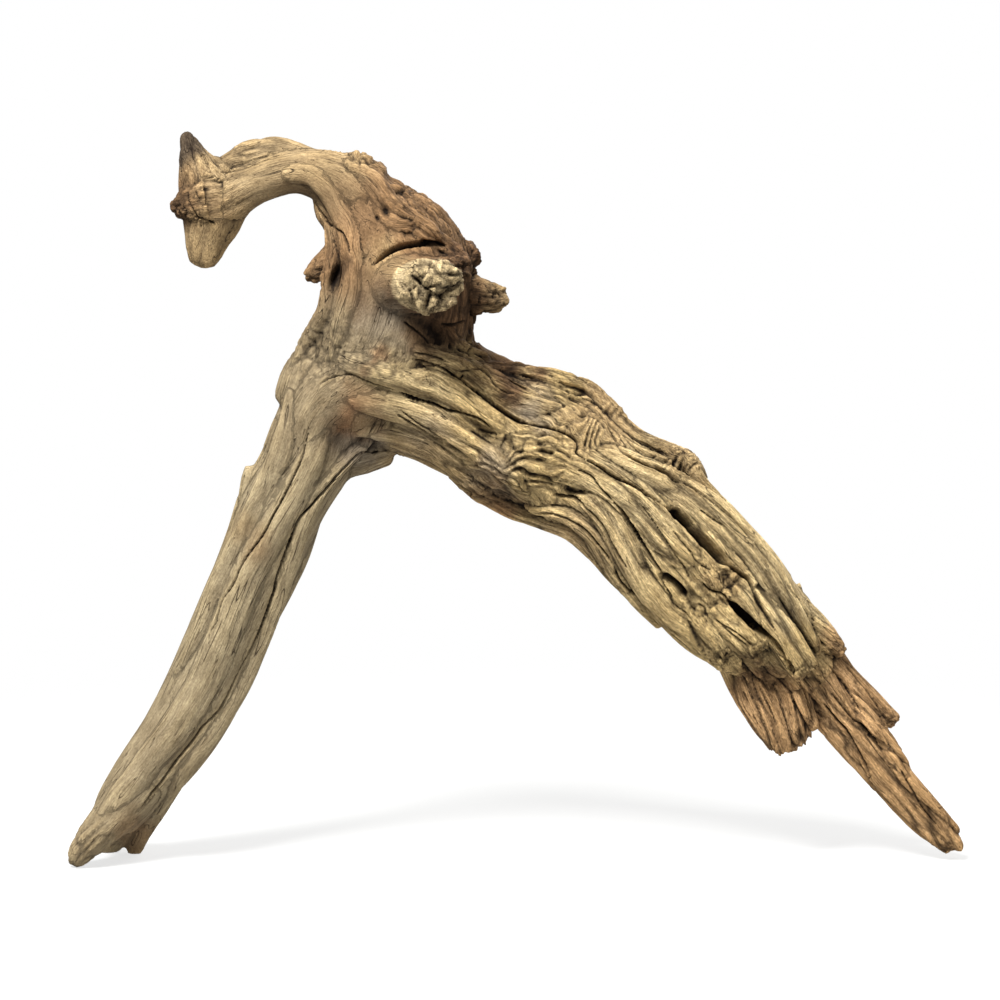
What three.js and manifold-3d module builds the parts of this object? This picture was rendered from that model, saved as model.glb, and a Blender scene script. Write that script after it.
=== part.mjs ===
/**
 * Piece of driftwood: a bleached root crown, grown as one piece, that stands on the tips of two limbs.
 *
 * A slim leg drops to the left, a thick twisted limb sweeps down to the right and ends in broken
 * planks, and the stump between them rises to a hook and carries one broken branch knob.
 *
 * Frame: millimetres, +X towards the splintered limb, +Z up, the knob faces -Y. The origin is on the
 * ground, under the middle of the piece.
 *
 * Every limb is drawn on a front elevation: a station is [x, z, depth, radius], x and z as an eye at
 * EYE sees them against the plane y = 0, depth the true y. place() carries a station to its depth.
 */
import * as THREE from 'three';
import { mergeVertices } from 'three/addons/utils/BufferGeometryUtils.js';
import Module from 'manifold-3d';

const EYE = new THREE.Vector3(-7.25, -1861, 410.7);
const MIDDLE = { x: 1.48, y: -17.46 };

const STATION_GAP = 13;
const FEWEST_STEPS = 4;
const LIMB_SIDES = 10;
const TWIG_SIDES = 8;

/** Share of a bundle's radius that each strand's own centreline lies off the member's centreline. */
const STRAND_OFFSET = 0.42;

/** Points closer than this are one point of the solid. */
const WELD = 1e-4;

const GROUND = { width: 600, depth: 300, height: 60 };

const WOOD = { color: 0xb5a37d, roughness: 0.88, metalness: 0 };

/** Thick members, each a bundle of strands that wind about one centreline. */
const LIMBS = [
  {
    name: 'stump',
    strands: 5,
    turns: 0.3,
    phase: 0.4,
    squash: 0.88,
    path: [
      [-72, 240, -6, 35],
      [-64, 262, -7, 40],
      [-60, 284, -7, 41],
      [-62, 306, -6, 38],
      [-70, 326, -5, 29],
      [-78, 341, -4, 16],
    ],
  },
  {
    name: 'left_leg',
    strands: 3,
    turns: 0.35,
    phase: 0.2,
    squash: 1.1,
    path: [
      [-72, 243, -4, 30],
      [-94, 227, -3, 27],
      [-105, 203, -2, 24],
      [-116, 180, -2, 22.5],
      [-128, 150, -2, 21.5],
      [-141, 119, -3, 20.5],
      [-153, 92, -4, 19.5],
      [-165, 69, -5, 18],
      [-181, 47, -6, 16.5],
      [-193, 29, -7, 14.5],
      [-200, 18, -7, 12],
    ],
  },
  {
    name: 'right_limb',
    strands: 5,
    turns: 0.45,
    phase: 1.1,
    squash: 0.88,
    path: [
      [-74, 243, -4, 32],
      [-32, 227, -5, 35],
      [-3, 214, -6, 35],
      [23, 205, -6, 34],
      [47, 189, -6, 33],
      [69, 169, -5, 34],
      [90, 149, -4, 34],
      [111, 130, -3, 31],
      [129, 111, -2, 28],
      [142, 98, -2, 20],
    ],
  },
  {
    name: 'hook',
    strands: 3,
    turns: 0.4,
    phase: 0.9,
    squash: 1,
    path: [
      [-70, 334, -4, 19],
      [-88, 342, -4, 15],
      [-102, 345, -4, 12.5],
      [-118, 348.5, -4, 14],
      [-133, 341, -4, 16.5],
      [-147, 329, -4, 18],
      [-151, 316, -4, 12.5],
      [-153, 305, -4, 7.5],
      [-154.5, 299, -4, 3],
    ],
  },
];

/** Single members: roots, splinters, knots and stubs, each one flattened tube. */
const TWIGS = [
  { name: 'horn', squash: 0.9, path: [[-148, 332, -4, 15], [-157, 349, -4, 9], [-163, 366, -4, 2]] },
  { name: 'toe', squash: 1, path: [[-186, 40, -11, 13], [-205, 18, -18, 11], [-223, -5, -23, 4.5]] },
  { name: 'spur', squash: 0.9, path: [[-178, 42, 3, 12], [-187, 20, 8, 8.5], [-193, -1, 11, 3.5]] },
  { name: 'heel', squash: 1.1, path: [[-190, 32, 6, 12], [-204, 12, 15, 8.5], [-208, 0, 19, 5]] },
  { name: 'lower_plank', squash: 0.5, path: [[114, 116, -9, 19], [127, 92, -12, 16], [140, 59, -13, 11.5]] },
  {
    name: 'long_splinter',
    squash: 0.95,
    path: [[132, 114, 0, 20], [152, 90, 0, 14], [177, 58, -1, 10], [205, 25, -3, 9], [222, 1, -4, 6.5]],
  },
  { name: 'upper_plank', squash: 0.8, path: [[136, 128, 5, 19], [160, 102, 5, 12], [188, 70, 4, 7.5]] },
  { name: 'fringe', squash: 0.9, path: [[170, 80, -1, 7], [188, 58, -1, 4.5], [200, 44, -1, 1.5]] },
  { name: 'crest', squash: 1.3, path: [[-78, 346, -4, 10], [-44, 322, -6, 11], [-24, 303, -7, 8]] },
  { name: 'stub', squash: 0.9, path: [[-32, 286, -8, 11], [-14, 284, -9, 7.5], [-2.5, 284, -9, 4]] },
  { name: 'shoulder_burl', squash: 1.1, path: [[-4, 236, -12, 13], [22, 232, -11, 15], [41, 230, -8, 9]] },
  { name: 'limb_knot', squash: 1, path: [[68, 200, -8, 9], [83, 199, -7, 10.5], [95, 187, -5, 7]] },
  { name: 'arch_bump', squash: 1, path: [[-32, 201, -5, 11], [-16, 189, -6, 9], [0, 184, -6, 9]] },
  {
    name: 'knob',
    squash: 0.9,
    across: true,
    path: [[-56, 285, -16, 26], [-50, 288, -38, 20], [-45, 289, -58, 16.5]],
  },
];

/** Carries a drawn station to the point at its own depth, along the line of sight from EYE. */
function place([x, z, depth]) {
  const reach = (depth - EYE.y) / -EYE.y;
  const seen = new THREE.Vector3(x, 0, z);
  return EYE.clone().lerp(seen, reach);
}

/** Samples a member's centreline and radius at even stations. */
function stations(path) {
  const centres = new THREE.CatmullRomCurve3(path.map(place), false, 'centripetal');
  const radii = new THREE.SplineCurve(path.map((station, index) => new THREE.Vector2(index, station[3])));
  const steps = Math.max(FEWEST_STEPS, Math.round(centres.getLength() / STATION_GAP));
  return Array.from({ length: steps + 1 }, (_, step) => ({
    share: step / steps,
    centre: centres.getPoint(step / steps),
    tangent: centres.getTangent(step / steps),
    radius: radii.getPoint(step / steps).y,
  }));
}

/** Gives each station two directions across the member: one in the elevation, one in depth. */
function framed(list, across) {
  const depth = across ? new THREE.Vector3(0, 0, 1) : new THREE.Vector3(0, 1, 0);
  return list.map((station) => {
    const side = new THREE.Vector3().crossVectors(depth, station.tangent).normalize();
    const deep = new THREE.Vector3().crossVectors(station.tangent, side).normalize();
    return { ...station, side, deep };
  });
}

/** Offset of a point at an angle on a station's flattened section. */
function around(station, angle, reach, squash) {
  const offset = station.side.clone().multiplyScalar(Math.cos(angle) * reach);
  return offset.addScaledVector(station.deep, Math.sin(angle) * reach * squash);
}

/** Joins rings of points into one closed tube with a flat cap at each end. */
function closedTube(rings) {
  const sides = rings[0].length;
  const points = rings.flat();
  const faces = [];
  rings.slice(1).forEach((_, row) => {
    for (let side = 0; side < sides; side += 1) {
      const a = row * sides + side;
      const b = row * sides + ((side + 1) % sides);
      faces.push(a, b, a + sides, b, b + sides, a + sides);
    }
  });
  const first = points.push(centreOf(rings[0])) - 1;
  const last = points.push(centreOf(rings.at(-1))) - 1;
  const top = (rings.length - 1) * sides;
  for (let side = 0; side < sides; side += 1) {
    const next = (side + 1) % sides;
    faces.push(first, next, side, last, top + side, top + next);
  }
  const geometry = new THREE.BufferGeometry().setFromPoints(points);
  geometry.setIndex(faces);
  return geometry;
}

/** Mean of a ring's points. */
function centreOf(ring) {
  const sum = ring.reduce((total, point) => total.add(point), new THREE.Vector3());
  return sum.divideScalar(ring.length);
}

/** One flattened tube along a member's stations. */
function twig({ path, squash, across = false }) {
  const rings = framed(stations(path), across).map((station) =>
    Array.from({ length: TWIG_SIDES }, (_, side) => {
      const angle = (side / TWIG_SIDES) * 2 * Math.PI;
      return station.centre.clone().add(around(station, angle, station.radius, squash));
    }),
  );
  return closedTube(rings);
}

/** The strands of a thick member: each is off centre and winds slowly round its centreline. */
function bundle({ path, strands, turns, phase, squash }) {
  const line = framed(stations(path), false);
  const thick = 1 - STRAND_OFFSET;
  return Array.from({ length: strands }, (_, strand) => {
    const rings = line.map((station) => {
      const wind = (strand / strands + turns * station.share) * 2 * Math.PI + phase;
      const shift = around(station, wind, station.radius * STRAND_OFFSET, squash);
      const centre = station.centre.clone().add(shift);
      return Array.from({ length: LIMB_SIDES }, (_unused, side) => {
        const angle = (side / LIMB_SIDES) * 2 * Math.PI;
        return centre.clone().add(around(station, angle, station.radius * thick, squash));
      });
    });
    return closedTube(rings);
  });
}

/** Loads manifold-3d once. */
async function loadSolids() {
  const wasm = await Module();
  wasm.setup();
  return wasm;
}

/** Turns a closed geometry into a manifold solid. */
function solid(wasm, geometry) {
  const bare = geometry.clone();
  bare.deleteAttribute('normal');
  bare.deleteAttribute('uv');
  const merged = mergeVertices(bare, WELD);
  const vertProperties = new Float32Array(merged.attributes.position.array);
  const triVerts = new Uint32Array(merged.index.array);
  return new wasm.Manifold(new wasm.Mesh({ numProp: 3, vertProperties, triVerts }));
}

/** The block of ground that the feet are worn flat against. */
function groundBlock() {
  const block = new THREE.BoxGeometry(GROUND.width, GROUND.depth, GROUND.height);
  return block.translate(0, 0, -GROUND.height / 2);
}

/** Grows every member into one another and wears the feet flat. */
function grow(wasm) {
  const members = [...LIMBS.flatMap(bundle), ...TWIGS.map(twig)];
  const grown = members.map((member) => solid(wasm, member)).reduce((whole, next) => whole.add(next));
  return grown.subtract(solid(wasm, groundBlock()));
}

/** Turns a manifold solid back into a flat-shaded three.js geometry about the piece's middle. */
function toGeometry(whole) {
  const mesh = whole.getMesh();
  const geometry = new THREE.BufferGeometry();
  geometry.setAttribute('position', new THREE.BufferAttribute(mesh.vertProperties, mesh.numProp));
  geometry.setIndex(new THREE.BufferAttribute(mesh.triVerts, 1));
  geometry.translate(-MIDDLE.x, -MIDDLE.y, 0);
  geometry.computeVertexNormals();
  return geometry;
}

const wasm = await loadSolids();
const driftwood = new THREE.Mesh(toGeometry(grow(wasm)), new THREE.MeshStandardMaterial(WOOD));
driftwood.name = 'driftwood';

const group = new THREE.Group();
group.add(driftwood);

export default group;
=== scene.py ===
"""Piece of driftwood: the visual model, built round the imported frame.

The wood is grown the way the CAD solid is, from members drawn on a front elevation, and then worked
finer: the members fuse into one body, surface folds are laid over it, and fibres, drying cracks, hollows
and broken ends are carved before it is coloured. Tables are in millimetres; meshes are in metres.
"""
import logging
import math
from dataclasses import dataclass, field
from enum import Enum, IntEnum

import bmesh
import bpy
import numpy as np
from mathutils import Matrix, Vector
from mathutils.kdtree import KDTree


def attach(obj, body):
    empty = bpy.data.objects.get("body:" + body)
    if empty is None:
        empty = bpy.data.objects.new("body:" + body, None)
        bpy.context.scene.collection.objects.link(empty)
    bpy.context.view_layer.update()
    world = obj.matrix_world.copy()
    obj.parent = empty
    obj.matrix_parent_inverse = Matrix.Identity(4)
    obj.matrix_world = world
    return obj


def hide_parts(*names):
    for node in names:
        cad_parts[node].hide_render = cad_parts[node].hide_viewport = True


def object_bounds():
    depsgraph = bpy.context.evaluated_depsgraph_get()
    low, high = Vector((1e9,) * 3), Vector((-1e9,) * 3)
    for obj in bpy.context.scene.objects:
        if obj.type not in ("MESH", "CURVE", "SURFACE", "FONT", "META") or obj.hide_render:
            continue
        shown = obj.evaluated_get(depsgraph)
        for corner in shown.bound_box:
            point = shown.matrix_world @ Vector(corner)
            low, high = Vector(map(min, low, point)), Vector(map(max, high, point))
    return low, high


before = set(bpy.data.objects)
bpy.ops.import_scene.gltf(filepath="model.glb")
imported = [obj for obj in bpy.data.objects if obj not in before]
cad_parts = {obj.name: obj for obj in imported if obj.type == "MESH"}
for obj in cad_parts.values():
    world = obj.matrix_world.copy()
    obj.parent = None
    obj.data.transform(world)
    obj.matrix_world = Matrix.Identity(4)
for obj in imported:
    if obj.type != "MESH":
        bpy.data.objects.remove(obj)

CAD_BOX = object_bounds()
LOG = logging.getLogger("driftwood")

# The tables' own box, mm, in x and y; the tables are scaled and moved so that it fills the frame's box.
DRAWN_LOW = (-223.854, -62.229)
DRAWN_HIGH = (226.808, 27.316)
MM = (CAD_BOX[1][0] - CAD_BOX[0][0]) / (DRAWN_HIGH[0] - DRAWN_LOW[0])
MIDDLE = tuple(
    (DRAWN_LOW[axis] + DRAWN_HIGH[axis]) / 2 - (CAD_BOX[0][axis] + CAD_BOX[1][axis]) / 2 / MM
    for axis in (0, 1)
)
Rows = list[tuple[float, ...]]
RGB = tuple[float, float, float]
Socket = bpy.types.NodeSocket
Tree = bpy.types.NodeTree
BATCH = 20000  # points measured against a line at once
FADE = 0.7  # how steeply a spot dies out
SPENT = 4.0  # squared distance over squared reach where nothing of a spot is left
TUBE_SIDES = 20


# ---------------------------------------------------------------------------------------------------------
# Drawing and small numeric helpers


@dataclass(frozen=True)
class Elevation:
    """The front elevation that the tables are drawn on, as an eye sees it against the plane y = 0.

    Attributes:
        eye: The eye's place, mm, in the drawing's frame.
        middle: The drawing's x and y at the row frame's origin, mm.
        aim: The drawn x and z that the eye looks at, mm.
    """

    eye: tuple[float, float, float] = (-7.25, -1861.0, 410.7)
    middle: tuple[float, float] = MIDDLE
    aim: tuple[float, float] = (-7.25, 182.2)

    def origin(self) -> np.ndarray:
        """Places the eye.

        Returns:
            The eye in the row frame, mm.
        """
        return np.array(self.eye) - np.array([*self.middle, 0.0])

    def place(self, x: float, z: float, depth: float) -> np.ndarray:
        """Carries a drawn point along its line of sight to a true depth.

        Args:
            x: Drawn x, mm.
            z: Drawn z, mm.
            depth: True y of the point in the drawing's frame, mm.

        Returns:
            The point in the row frame, mm.
        """
        reach = (depth - self.eye[1]) / -self.eye[1]
        seen = np.array([x, 0.0, z])
        eye = np.array(self.eye)
        return eye + reach * (seen - eye) - np.array([*self.middle, 0.0])

    def drawn(self, points: np.ndarray) -> np.ndarray:
        """Carries points back along their lines of sight onto the drawing.

        Args:
            points: Rows of x, y, z in the row frame, mm.

        Returns:
            Rows of drawn x and z, mm.
        """
        eye = np.array(self.eye)
        moved = points + np.array([*self.middle, 0.0]) - eye
        return eye[[0, 2]] + moved[:, [0, 2]] * (-eye[1] / moved[:, 1])[:, None]

    def sight(self, x: float, z: float) -> np.ndarray:
        """Aims a line of sight.

        Args:
            x: Drawn x, mm.
            z: Drawn z, mm.

        Returns:
            The unit direction from the eye through the drawn point.
        """
        ray = self.place(x, z, 0.0) - self.origin()
        return ray / np.linalg.norm(ray)


ELEVATION = Elevation()


def value_noise(points: np.ndarray, seed: int) -> np.ndarray:
    """Smooth lattice noise.

    Args:
        points: Rows of three coordinates, one lattice cell per unit.
        seed: Chooses the pattern.

    Returns:
        One value per row, from -1 to 1.
    """
    cell = np.floor(points).astype(np.int64)
    part = points - cell
    fade = part * part * (3.0 - 2.0 * part)
    total = np.zeros(len(points))
    for corner in np.ndindex(2, 2, 2):
        corner = np.array(corner)
        mix = (cell + corner) * np.array([73856093, 19349663, 83492791])
        code = (mix[:, 0] ^ mix[:, 1] ^ mix[:, 2]) + seed * 2654435761
        code = ((code ^ (code >> 13)) * 1274126177) & 0xFFFFFFFF
        code = ((code ^ (code >> 16)) * 2246822519) & 0xFFFFFFFF
        weight = np.prod(np.where(corner, fade, 1.0 - fade), axis=1)
        total += weight * ((code >> 8) / float(1 << 24) * 2.0 - 1.0)
    return total


def smoothstep(low: float, high: float, value: np.ndarray) -> np.ndarray:
    """Eases a value from 0 to 1.

    Args:
        low: Where the ramp leaves 0.
        high: Where it reaches 1.
        value: What is eased.

    Returns:
        Values from 0 to 1.
    """
    share = np.clip((value - low) / (high - low), 0.0, 1.0)
    return share * share * (3.0 - 2.0 * share)


def smooth_path(rows: np.ndarray, gap: float) -> np.ndarray:
    """Runs a Catmull-Rom curve through rows and samples it evenly along its length.

    Args:
        rows: Control rows; the first three columns are the place, the rest ride along.
        gap: Distance between samples, mm.

    Returns:
        The sampled rows.
    """
    padded = np.vstack([2 * rows[0] - rows[1], rows, 2 * rows[-1] - rows[-2]])
    share = np.linspace(0.0, 1.0, 24, endpoint=False)[:, None]
    pieces = []
    for start in range(len(rows) - 1):
        a, b, c, d = padded[start : start + 4]
        bend = (2 * a - 5 * b + 4 * c - d) * share**2 + (-a + 3 * b - 3 * c + d) * share**3
        pieces.append(0.5 * (2 * b + (c - a) * share + bend))
    fine = np.vstack([*pieces, rows[-1:]])
    run = np.concatenate([[0.0], np.cumsum(np.linalg.norm(np.diff(fine[:, :3], axis=0), axis=1))])
    count = max(3, int(round(run[-1] / gap)) + 1)
    even = np.linspace(0.0, run[-1], count)
    return np.column_stack([np.interp(even, run, column) for column in fine.T])


def unit(rows: np.ndarray) -> np.ndarray:
    """Scales each row to length one.

    Args:
        rows: Vectors.

    Returns:
        The scaled vectors.
    """
    return rows / np.maximum(np.linalg.norm(rows, axis=1, keepdims=True), 1e-9)


def bloom(share: np.ndarray) -> np.ndarray:
    """Fades a spot out from its middle.

    Args:
        share: Squared distance over squared reach.

    Returns:
        1 at the middle, about half where the share is 1.
    """
    return np.exp(-FADE * share**2)


def turned(gap: np.ndarray, tilt: float) -> tuple[np.ndarray, np.ndarray]:
    """Turns drawn offsets into a tilted frame.

    Args:
        gap: Rows of drawn x and z, mm.
        tilt: Angle of the frame above +X, degrees.

    Returns:
        The offsets along and across the frame, mm.
    """
    angle = math.radians(tilt)
    along = gap[:, 0] * math.cos(angle) + gap[:, 1] * math.sin(angle)
    return along, gap[:, 1] * math.cos(angle) - gap[:, 0] * math.sin(angle)


def tree_of(points: np.ndarray) -> KDTree:
    """Sorts points for finding the nearest ones.

    Args:
        points: Rows of x, y, z.

    Returns:
        The balanced tree.
    """
    tree = KDTree(len(points))
    for index, point in enumerate(points):
        tree.insert(point, index)
    tree.balance()
    return tree


def nearest_on(line: np.ndarray, points: np.ndarray) -> tuple[np.ndarray, np.ndarray]:
    """Finds each point's nearest sample on a line.

    Args:
        line: The line's samples, mm.
        points: Rows of x, y, z, mm.

    Returns:
        The sample's index and its distance, mm.
    """
    index = np.empty(len(points), dtype=np.int64)
    gap = np.empty(len(points))
    for start in range(0, len(points), BATCH):
        part = points[start : start + BATCH]
        squares = (part * part).sum(1)[:, None] - 2.0 * part @ line.T + (line**2).sum(1)[None]
        index[start : start + BATCH] = squares.argmin(1)
        gap[start : start + BATCH] = np.sqrt(np.maximum(squares.min(1), 0.0))
    return index, gap


# ---------------------------------------------------------------------------------------------------------
# Strands


class Strand:
    """A sampled member: a centreline with a radius and a flattened section at each sample."""

    GAP = 2.0

    def __init__(self, rows: np.ndarray, squash: float, across: bool = False, twist: float = 0.0) -> None:
        """Samples the member.

        Args:
            rows: Control rows of x, y, z and radius, mm, in the row frame.
            squash: Depth radius over side radius.
            across: True for a member that runs towards the eye.
            twist: Turns of the grain per metre.
        """
        sampled = smooth_path(rows, self.GAP)
        self.centre = sampled[:, :3]
        self.radius = np.maximum(sampled[:, 3], 0.4)
        self.squash = squash
        self.twist = twist
        self.tangent = unit(np.gradient(self.centre, axis=0))
        depth = np.array([0.0, 0.0, 1.0]) if across else np.array([0.0, 1.0, 0.0])
        self.side = unit(np.cross(depth, self.tangent))
        self.deep = unit(np.cross(self.tangent, self.side))
        steps = np.linalg.norm(np.diff(self.centre, axis=0), axis=1)
        self.run = np.concatenate([[0.0], np.cumsum(steps)])

    def add_tube(self, bm: bmesh.types.BMesh, sides: int) -> None:
        """Adds the member to a mesh as one closed tube.

        Args:
            bm: The mesh, in metres.
            sides: Sides of the tube.
        """
        rows = len(self.centre)
        made = bmesh.ops.create_grid(bm, x_segments=sides, y_segments=rows - 1, size=1.0)
        verts = made["verts"]
        angle = np.arange(sides + 1) / sides * 2.0 * math.pi
        reach = self.radius[:, None, None]
        wide = self.side[:, None, :] * np.cos(angle)[None, :, None]
        deep = self.deep[:, None, :] * np.sin(angle)[None, :, None] * self.squash
        places = (self.centre[:, None, :] + reach * (wide + deep)).reshape(-1, 3) * MM
        for vert, place in zip(verts, places):
            vert.co = place
        bmesh.ops.remove_doubles(bm, verts=verts, dist=1e-7)
        rim = [edge for edge in bm.edges if edge.is_boundary]
        bmesh.ops.holes_fill(bm, edges=rim, sides=sides)

    def locate(self, points: np.ndarray) -> tuple[np.ndarray, np.ndarray]:
        """Finds how points lie in the member.

        Args:
            points: Rows of x, y, z, mm.

        Returns:
            The distance outside the member's surface, and the grain place (along, side, deep), mm.
        """
        nearest, _ = nearest_on(self.centre, points)
        offset = points - self.centre[nearest]
        along = (offset * self.tangent[nearest]).sum(1)
        side = (offset * self.side[nearest]).sum(1)
        deep = (offset * self.deep[nearest]).sum(1)
        end = np.where((nearest == 0) | (nearest == len(self.centre) - 1), np.abs(along), 0.0)
        gap = np.sqrt(side**2 + (deep / self.squash) ** 2 + end**2) - self.radius[nearest]
        place = self.run[nearest] + along
        turn = place * MM * self.twist * 2.0 * math.pi
        wide = side * np.cos(turn) + deep * np.sin(turn)
        tall = deep * np.cos(turn) - side * np.sin(turn)
        return gap, np.column_stack([place, wide, tall])


@dataclass(frozen=True)
class Member:
    """A limb, root, splinter or stub.

    Attributes:
        path: Stations of drawn x, drawn z, depth and radius, mm.
        squash: Depth radius over side radius.
        across: True where it runs towards the eye.
        twist: Turns of its grain per metre.
    """

    path: Rows
    squash: float = 1.0
    across: bool = False
    twist: float = 0.0

    def strand(self) -> Strand:
        """Samples the member.

        Returns:
            The strand, in the row frame.
        """
        rows = [[*ELEVATION.place(x, z, depth), radius] for x, z, depth, radius in self.path]
        return Strand(np.array(rows), self.squash, self.across, self.twist)


@dataclass(frozen=True)
class Fold:
    """A band of grain that lies on the front of the wood.

    Attributes:
        path: Stations of drawn x, drawn z and radius, mm.
        proud: Share of the band's depth that stands out of the wood under it.
        squash: Depth radius over side radius.
    """

    path: Rows
    proud: float = 0.3
    squash: float = 0.6

    def strand(self, ground: bpy.types.Object) -> Strand:
        """Lays the band on the wood under it.

        Args:
            ground: The wood, as an object at the origin.

        Returns:
            The band as a strand.
        """
        rows = []
        last = len(self.path) - 1
        for index, (x, z, radius) in enumerate(self.path):
            hit = cast(ground, x, z)
            proud = self.proud - 0.45 if index in (0, last) else self.proud
            sunk = radius * self.squash * (1.0 - 2.0 * proud)
            rows.append([*(hit + ELEVATION.sight(x, z) * sunk), radius])
        return Strand(np.array(rows), self.squash)


def cast(ground: bpy.types.Object, x: float, z: float) -> np.ndarray:
    """Finds where the line of sight through a drawn point meets the wood.

    Args:
        ground: The wood, as an object at the origin.
        x: Drawn x, mm.
        z: Drawn z, mm.

    Returns:
        The place in the row frame, mm: the nearest wood where the line passes beside it.
    """
    origin = Vector(ELEVATION.origin() * MM)
    met, place, _, _ = ground.ray_cast(origin, Vector(ELEVATION.sight(x, z)))
    if not met:
        _, place, _, _ = ground.closest_point_on_mesh(Vector(ELEVATION.place(x, z, -20.0) * MM))
    return np.array(place) / MM


# ---------------------------------------------------------------------------------------------------------
# The members, drawn from the crown outwards

CORE: dict[str, Member] = {
    "stump": Member(
        [(-72, 238, -6, 32), (-62, 262, -7, 37), (-58, 284, -7, 38), (-60.5, 305, -6, 35),
         (-72, 325, -5, 24.5), (-80, 341, -4, 13.5)],
        squash=0.86,
        twist=0.6,
    ),
    "left_leg": Member(
        [(-72, 243, -4, 30), (-91, 227, -3, 25), (-102, 203, -2, 21.5), (-115, 182, -2, 21.5),
         (-128.5, 150, -2, 20), (-138, 129, -3, 19.5), (-148.5, 105, -3, 19.5), (-158, 84, -4, 19.5),
         (-171, 62, -5, 18.5), (-187, 41, -6, 16.5), (-197, 28, -7, 14.5), (-203, 18, -7, 12)],
        squash=1.08,
        twist=0.5,
    ),
    "right_limb": Member(
        [(-74, 243, -4, 31), (-50, 237, -5, 32), (-30, 230, -5, 31.5), (-3, 216, -6, 32.5),
         (23, 205, -6, 32.8), (46.5, 187.5, -6, 33), (69, 168, -5, 33), (90, 149, -4, 33.5),
         (111, 130, -3, 30.5),
         (129, 111, -2, 27), (140, 100, -2, 20)],
        squash=0.86,
        twist=0.9,
    ),
    "hook": Member(
        [(-72, 332, -4, 20), (-86, 340, -5, 15.5), (-98, 345, -6, 12.2), (-110, 345.5, -6, 10),
         (-122, 342, -6, 9.8), (-134, 337, -6, 11), (-145, 331, -6, 13)],
        squash=0.95,
        twist=0.8,
    ),
    "beak": Member(
        [(-162.5, 366, -4, 3), (-161.8, 362, -4, 4.8), (-159.3, 354, -4, 7.8), (-155, 344, -4, 12.5),
         (-150, 333, -4, 17), (-150, 323, -4, 15.8), (-152.5, 312, -4, 11.5), (-154, 304, -4, 9),
         (-155.5, 298.5, -4, 6.2)],
        squash=0.8,
        twist=0.5,
    ),
    "crest": Member(
        [(-146, 343, 0, 7), (-141, 350.5, 1, 6), (-131, 354, 2, 7.5), (-120, 356, 2, 7.8),
         (-110, 354, 1, 7.8), (-98, 349.5, 0, 7)],
        squash=0.9,
    ),
    "toe": Member([(-186, 40, -11, 13), (-198.5, 26, -16, 11.8), (-211, 12, -20, 9.3), (-221, 0, -23, 6),
           (-224, -4, -23, 3)]),
    "spur": Member([(-176, 44, 3, 12), (-185, 24, 7, 9), (-190, 10, 10, 5.5), (-193, -1, 11, 3)], 0.9),
    "heel": Member([(-190, 32, 6, 12), (-203, 12, 15, 8.5), (-208, 0, 19, 5)], 1.1),
    "knob": Member(
        [(-60, 287, -8, 22), (-54, 289, -30, 18), (-47, 290, -44, 16.5), (-42, 290, -54, 16.5),
         (-41, 290, -61, 14)],
        0.86,
        across=True,
    ),
    "knob_lump": Member([(-37, 295, -50, 9), (-34, 296, -62.5, 7)], 0.72, across=True),
    "knob_side_lump": Member([(-34, 297, -30, 8), (-24, 299, -44, 5.5)], 0.9, across=True),
    "arch_bump": Member([(-36, 209, -5, 9), (-18, 192, -6, 9), (-2, 184, -6, 8.5)]),
    "leg_shelf": Member([(-131, 160, -2, 11), (-127.5, 177, -2, 12), (-125.3, 191, -2, 12),
           (-124.3, 198.5, -2, 11)]),
    "crotch": Member([(-94, 204, -3, 12), (-79, 204, -3, 10), (-62, 208, -3, 8)]),
    "shoulder": Member([(-88, 276, -5, 9), (-94, 259, -5, 11.5), (-103, 243, -5, 13.8),
           (-108, 229, -4, 13.2)]),
    "buttress": Member([(-38, 288, -5, 17), (-36.5, 270, -5, 16), (-33, 252, -5, 14.5)]),
    "crown_shelf": Member([(-38, 300, -4, 13), (-26, 304, -3, 8.5), (-18.5, 307, -3, 6)]),
    "crook_lip": Member([(-84, 322, -6, 12), (-94, 327, -6, 7), (-98, 331, -6, 3.5)]),
    "top_knot": Member([(-78, 345, -6, 9), (-74, 354.5, -6, 7.2)]),
    "shoulder_burl": Member([(-10, 236, -10, 11), (14, 234, -10, 12.5), (29, 229, -9, 10),
           (39, 229.5, -7, 8)]),
    "limb_knot": Member([(64, 205, -8, 8), (76, 201, -8, 8.5), (84, 199, -7, 10), (93, 189, -5, 7)]),
}

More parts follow.
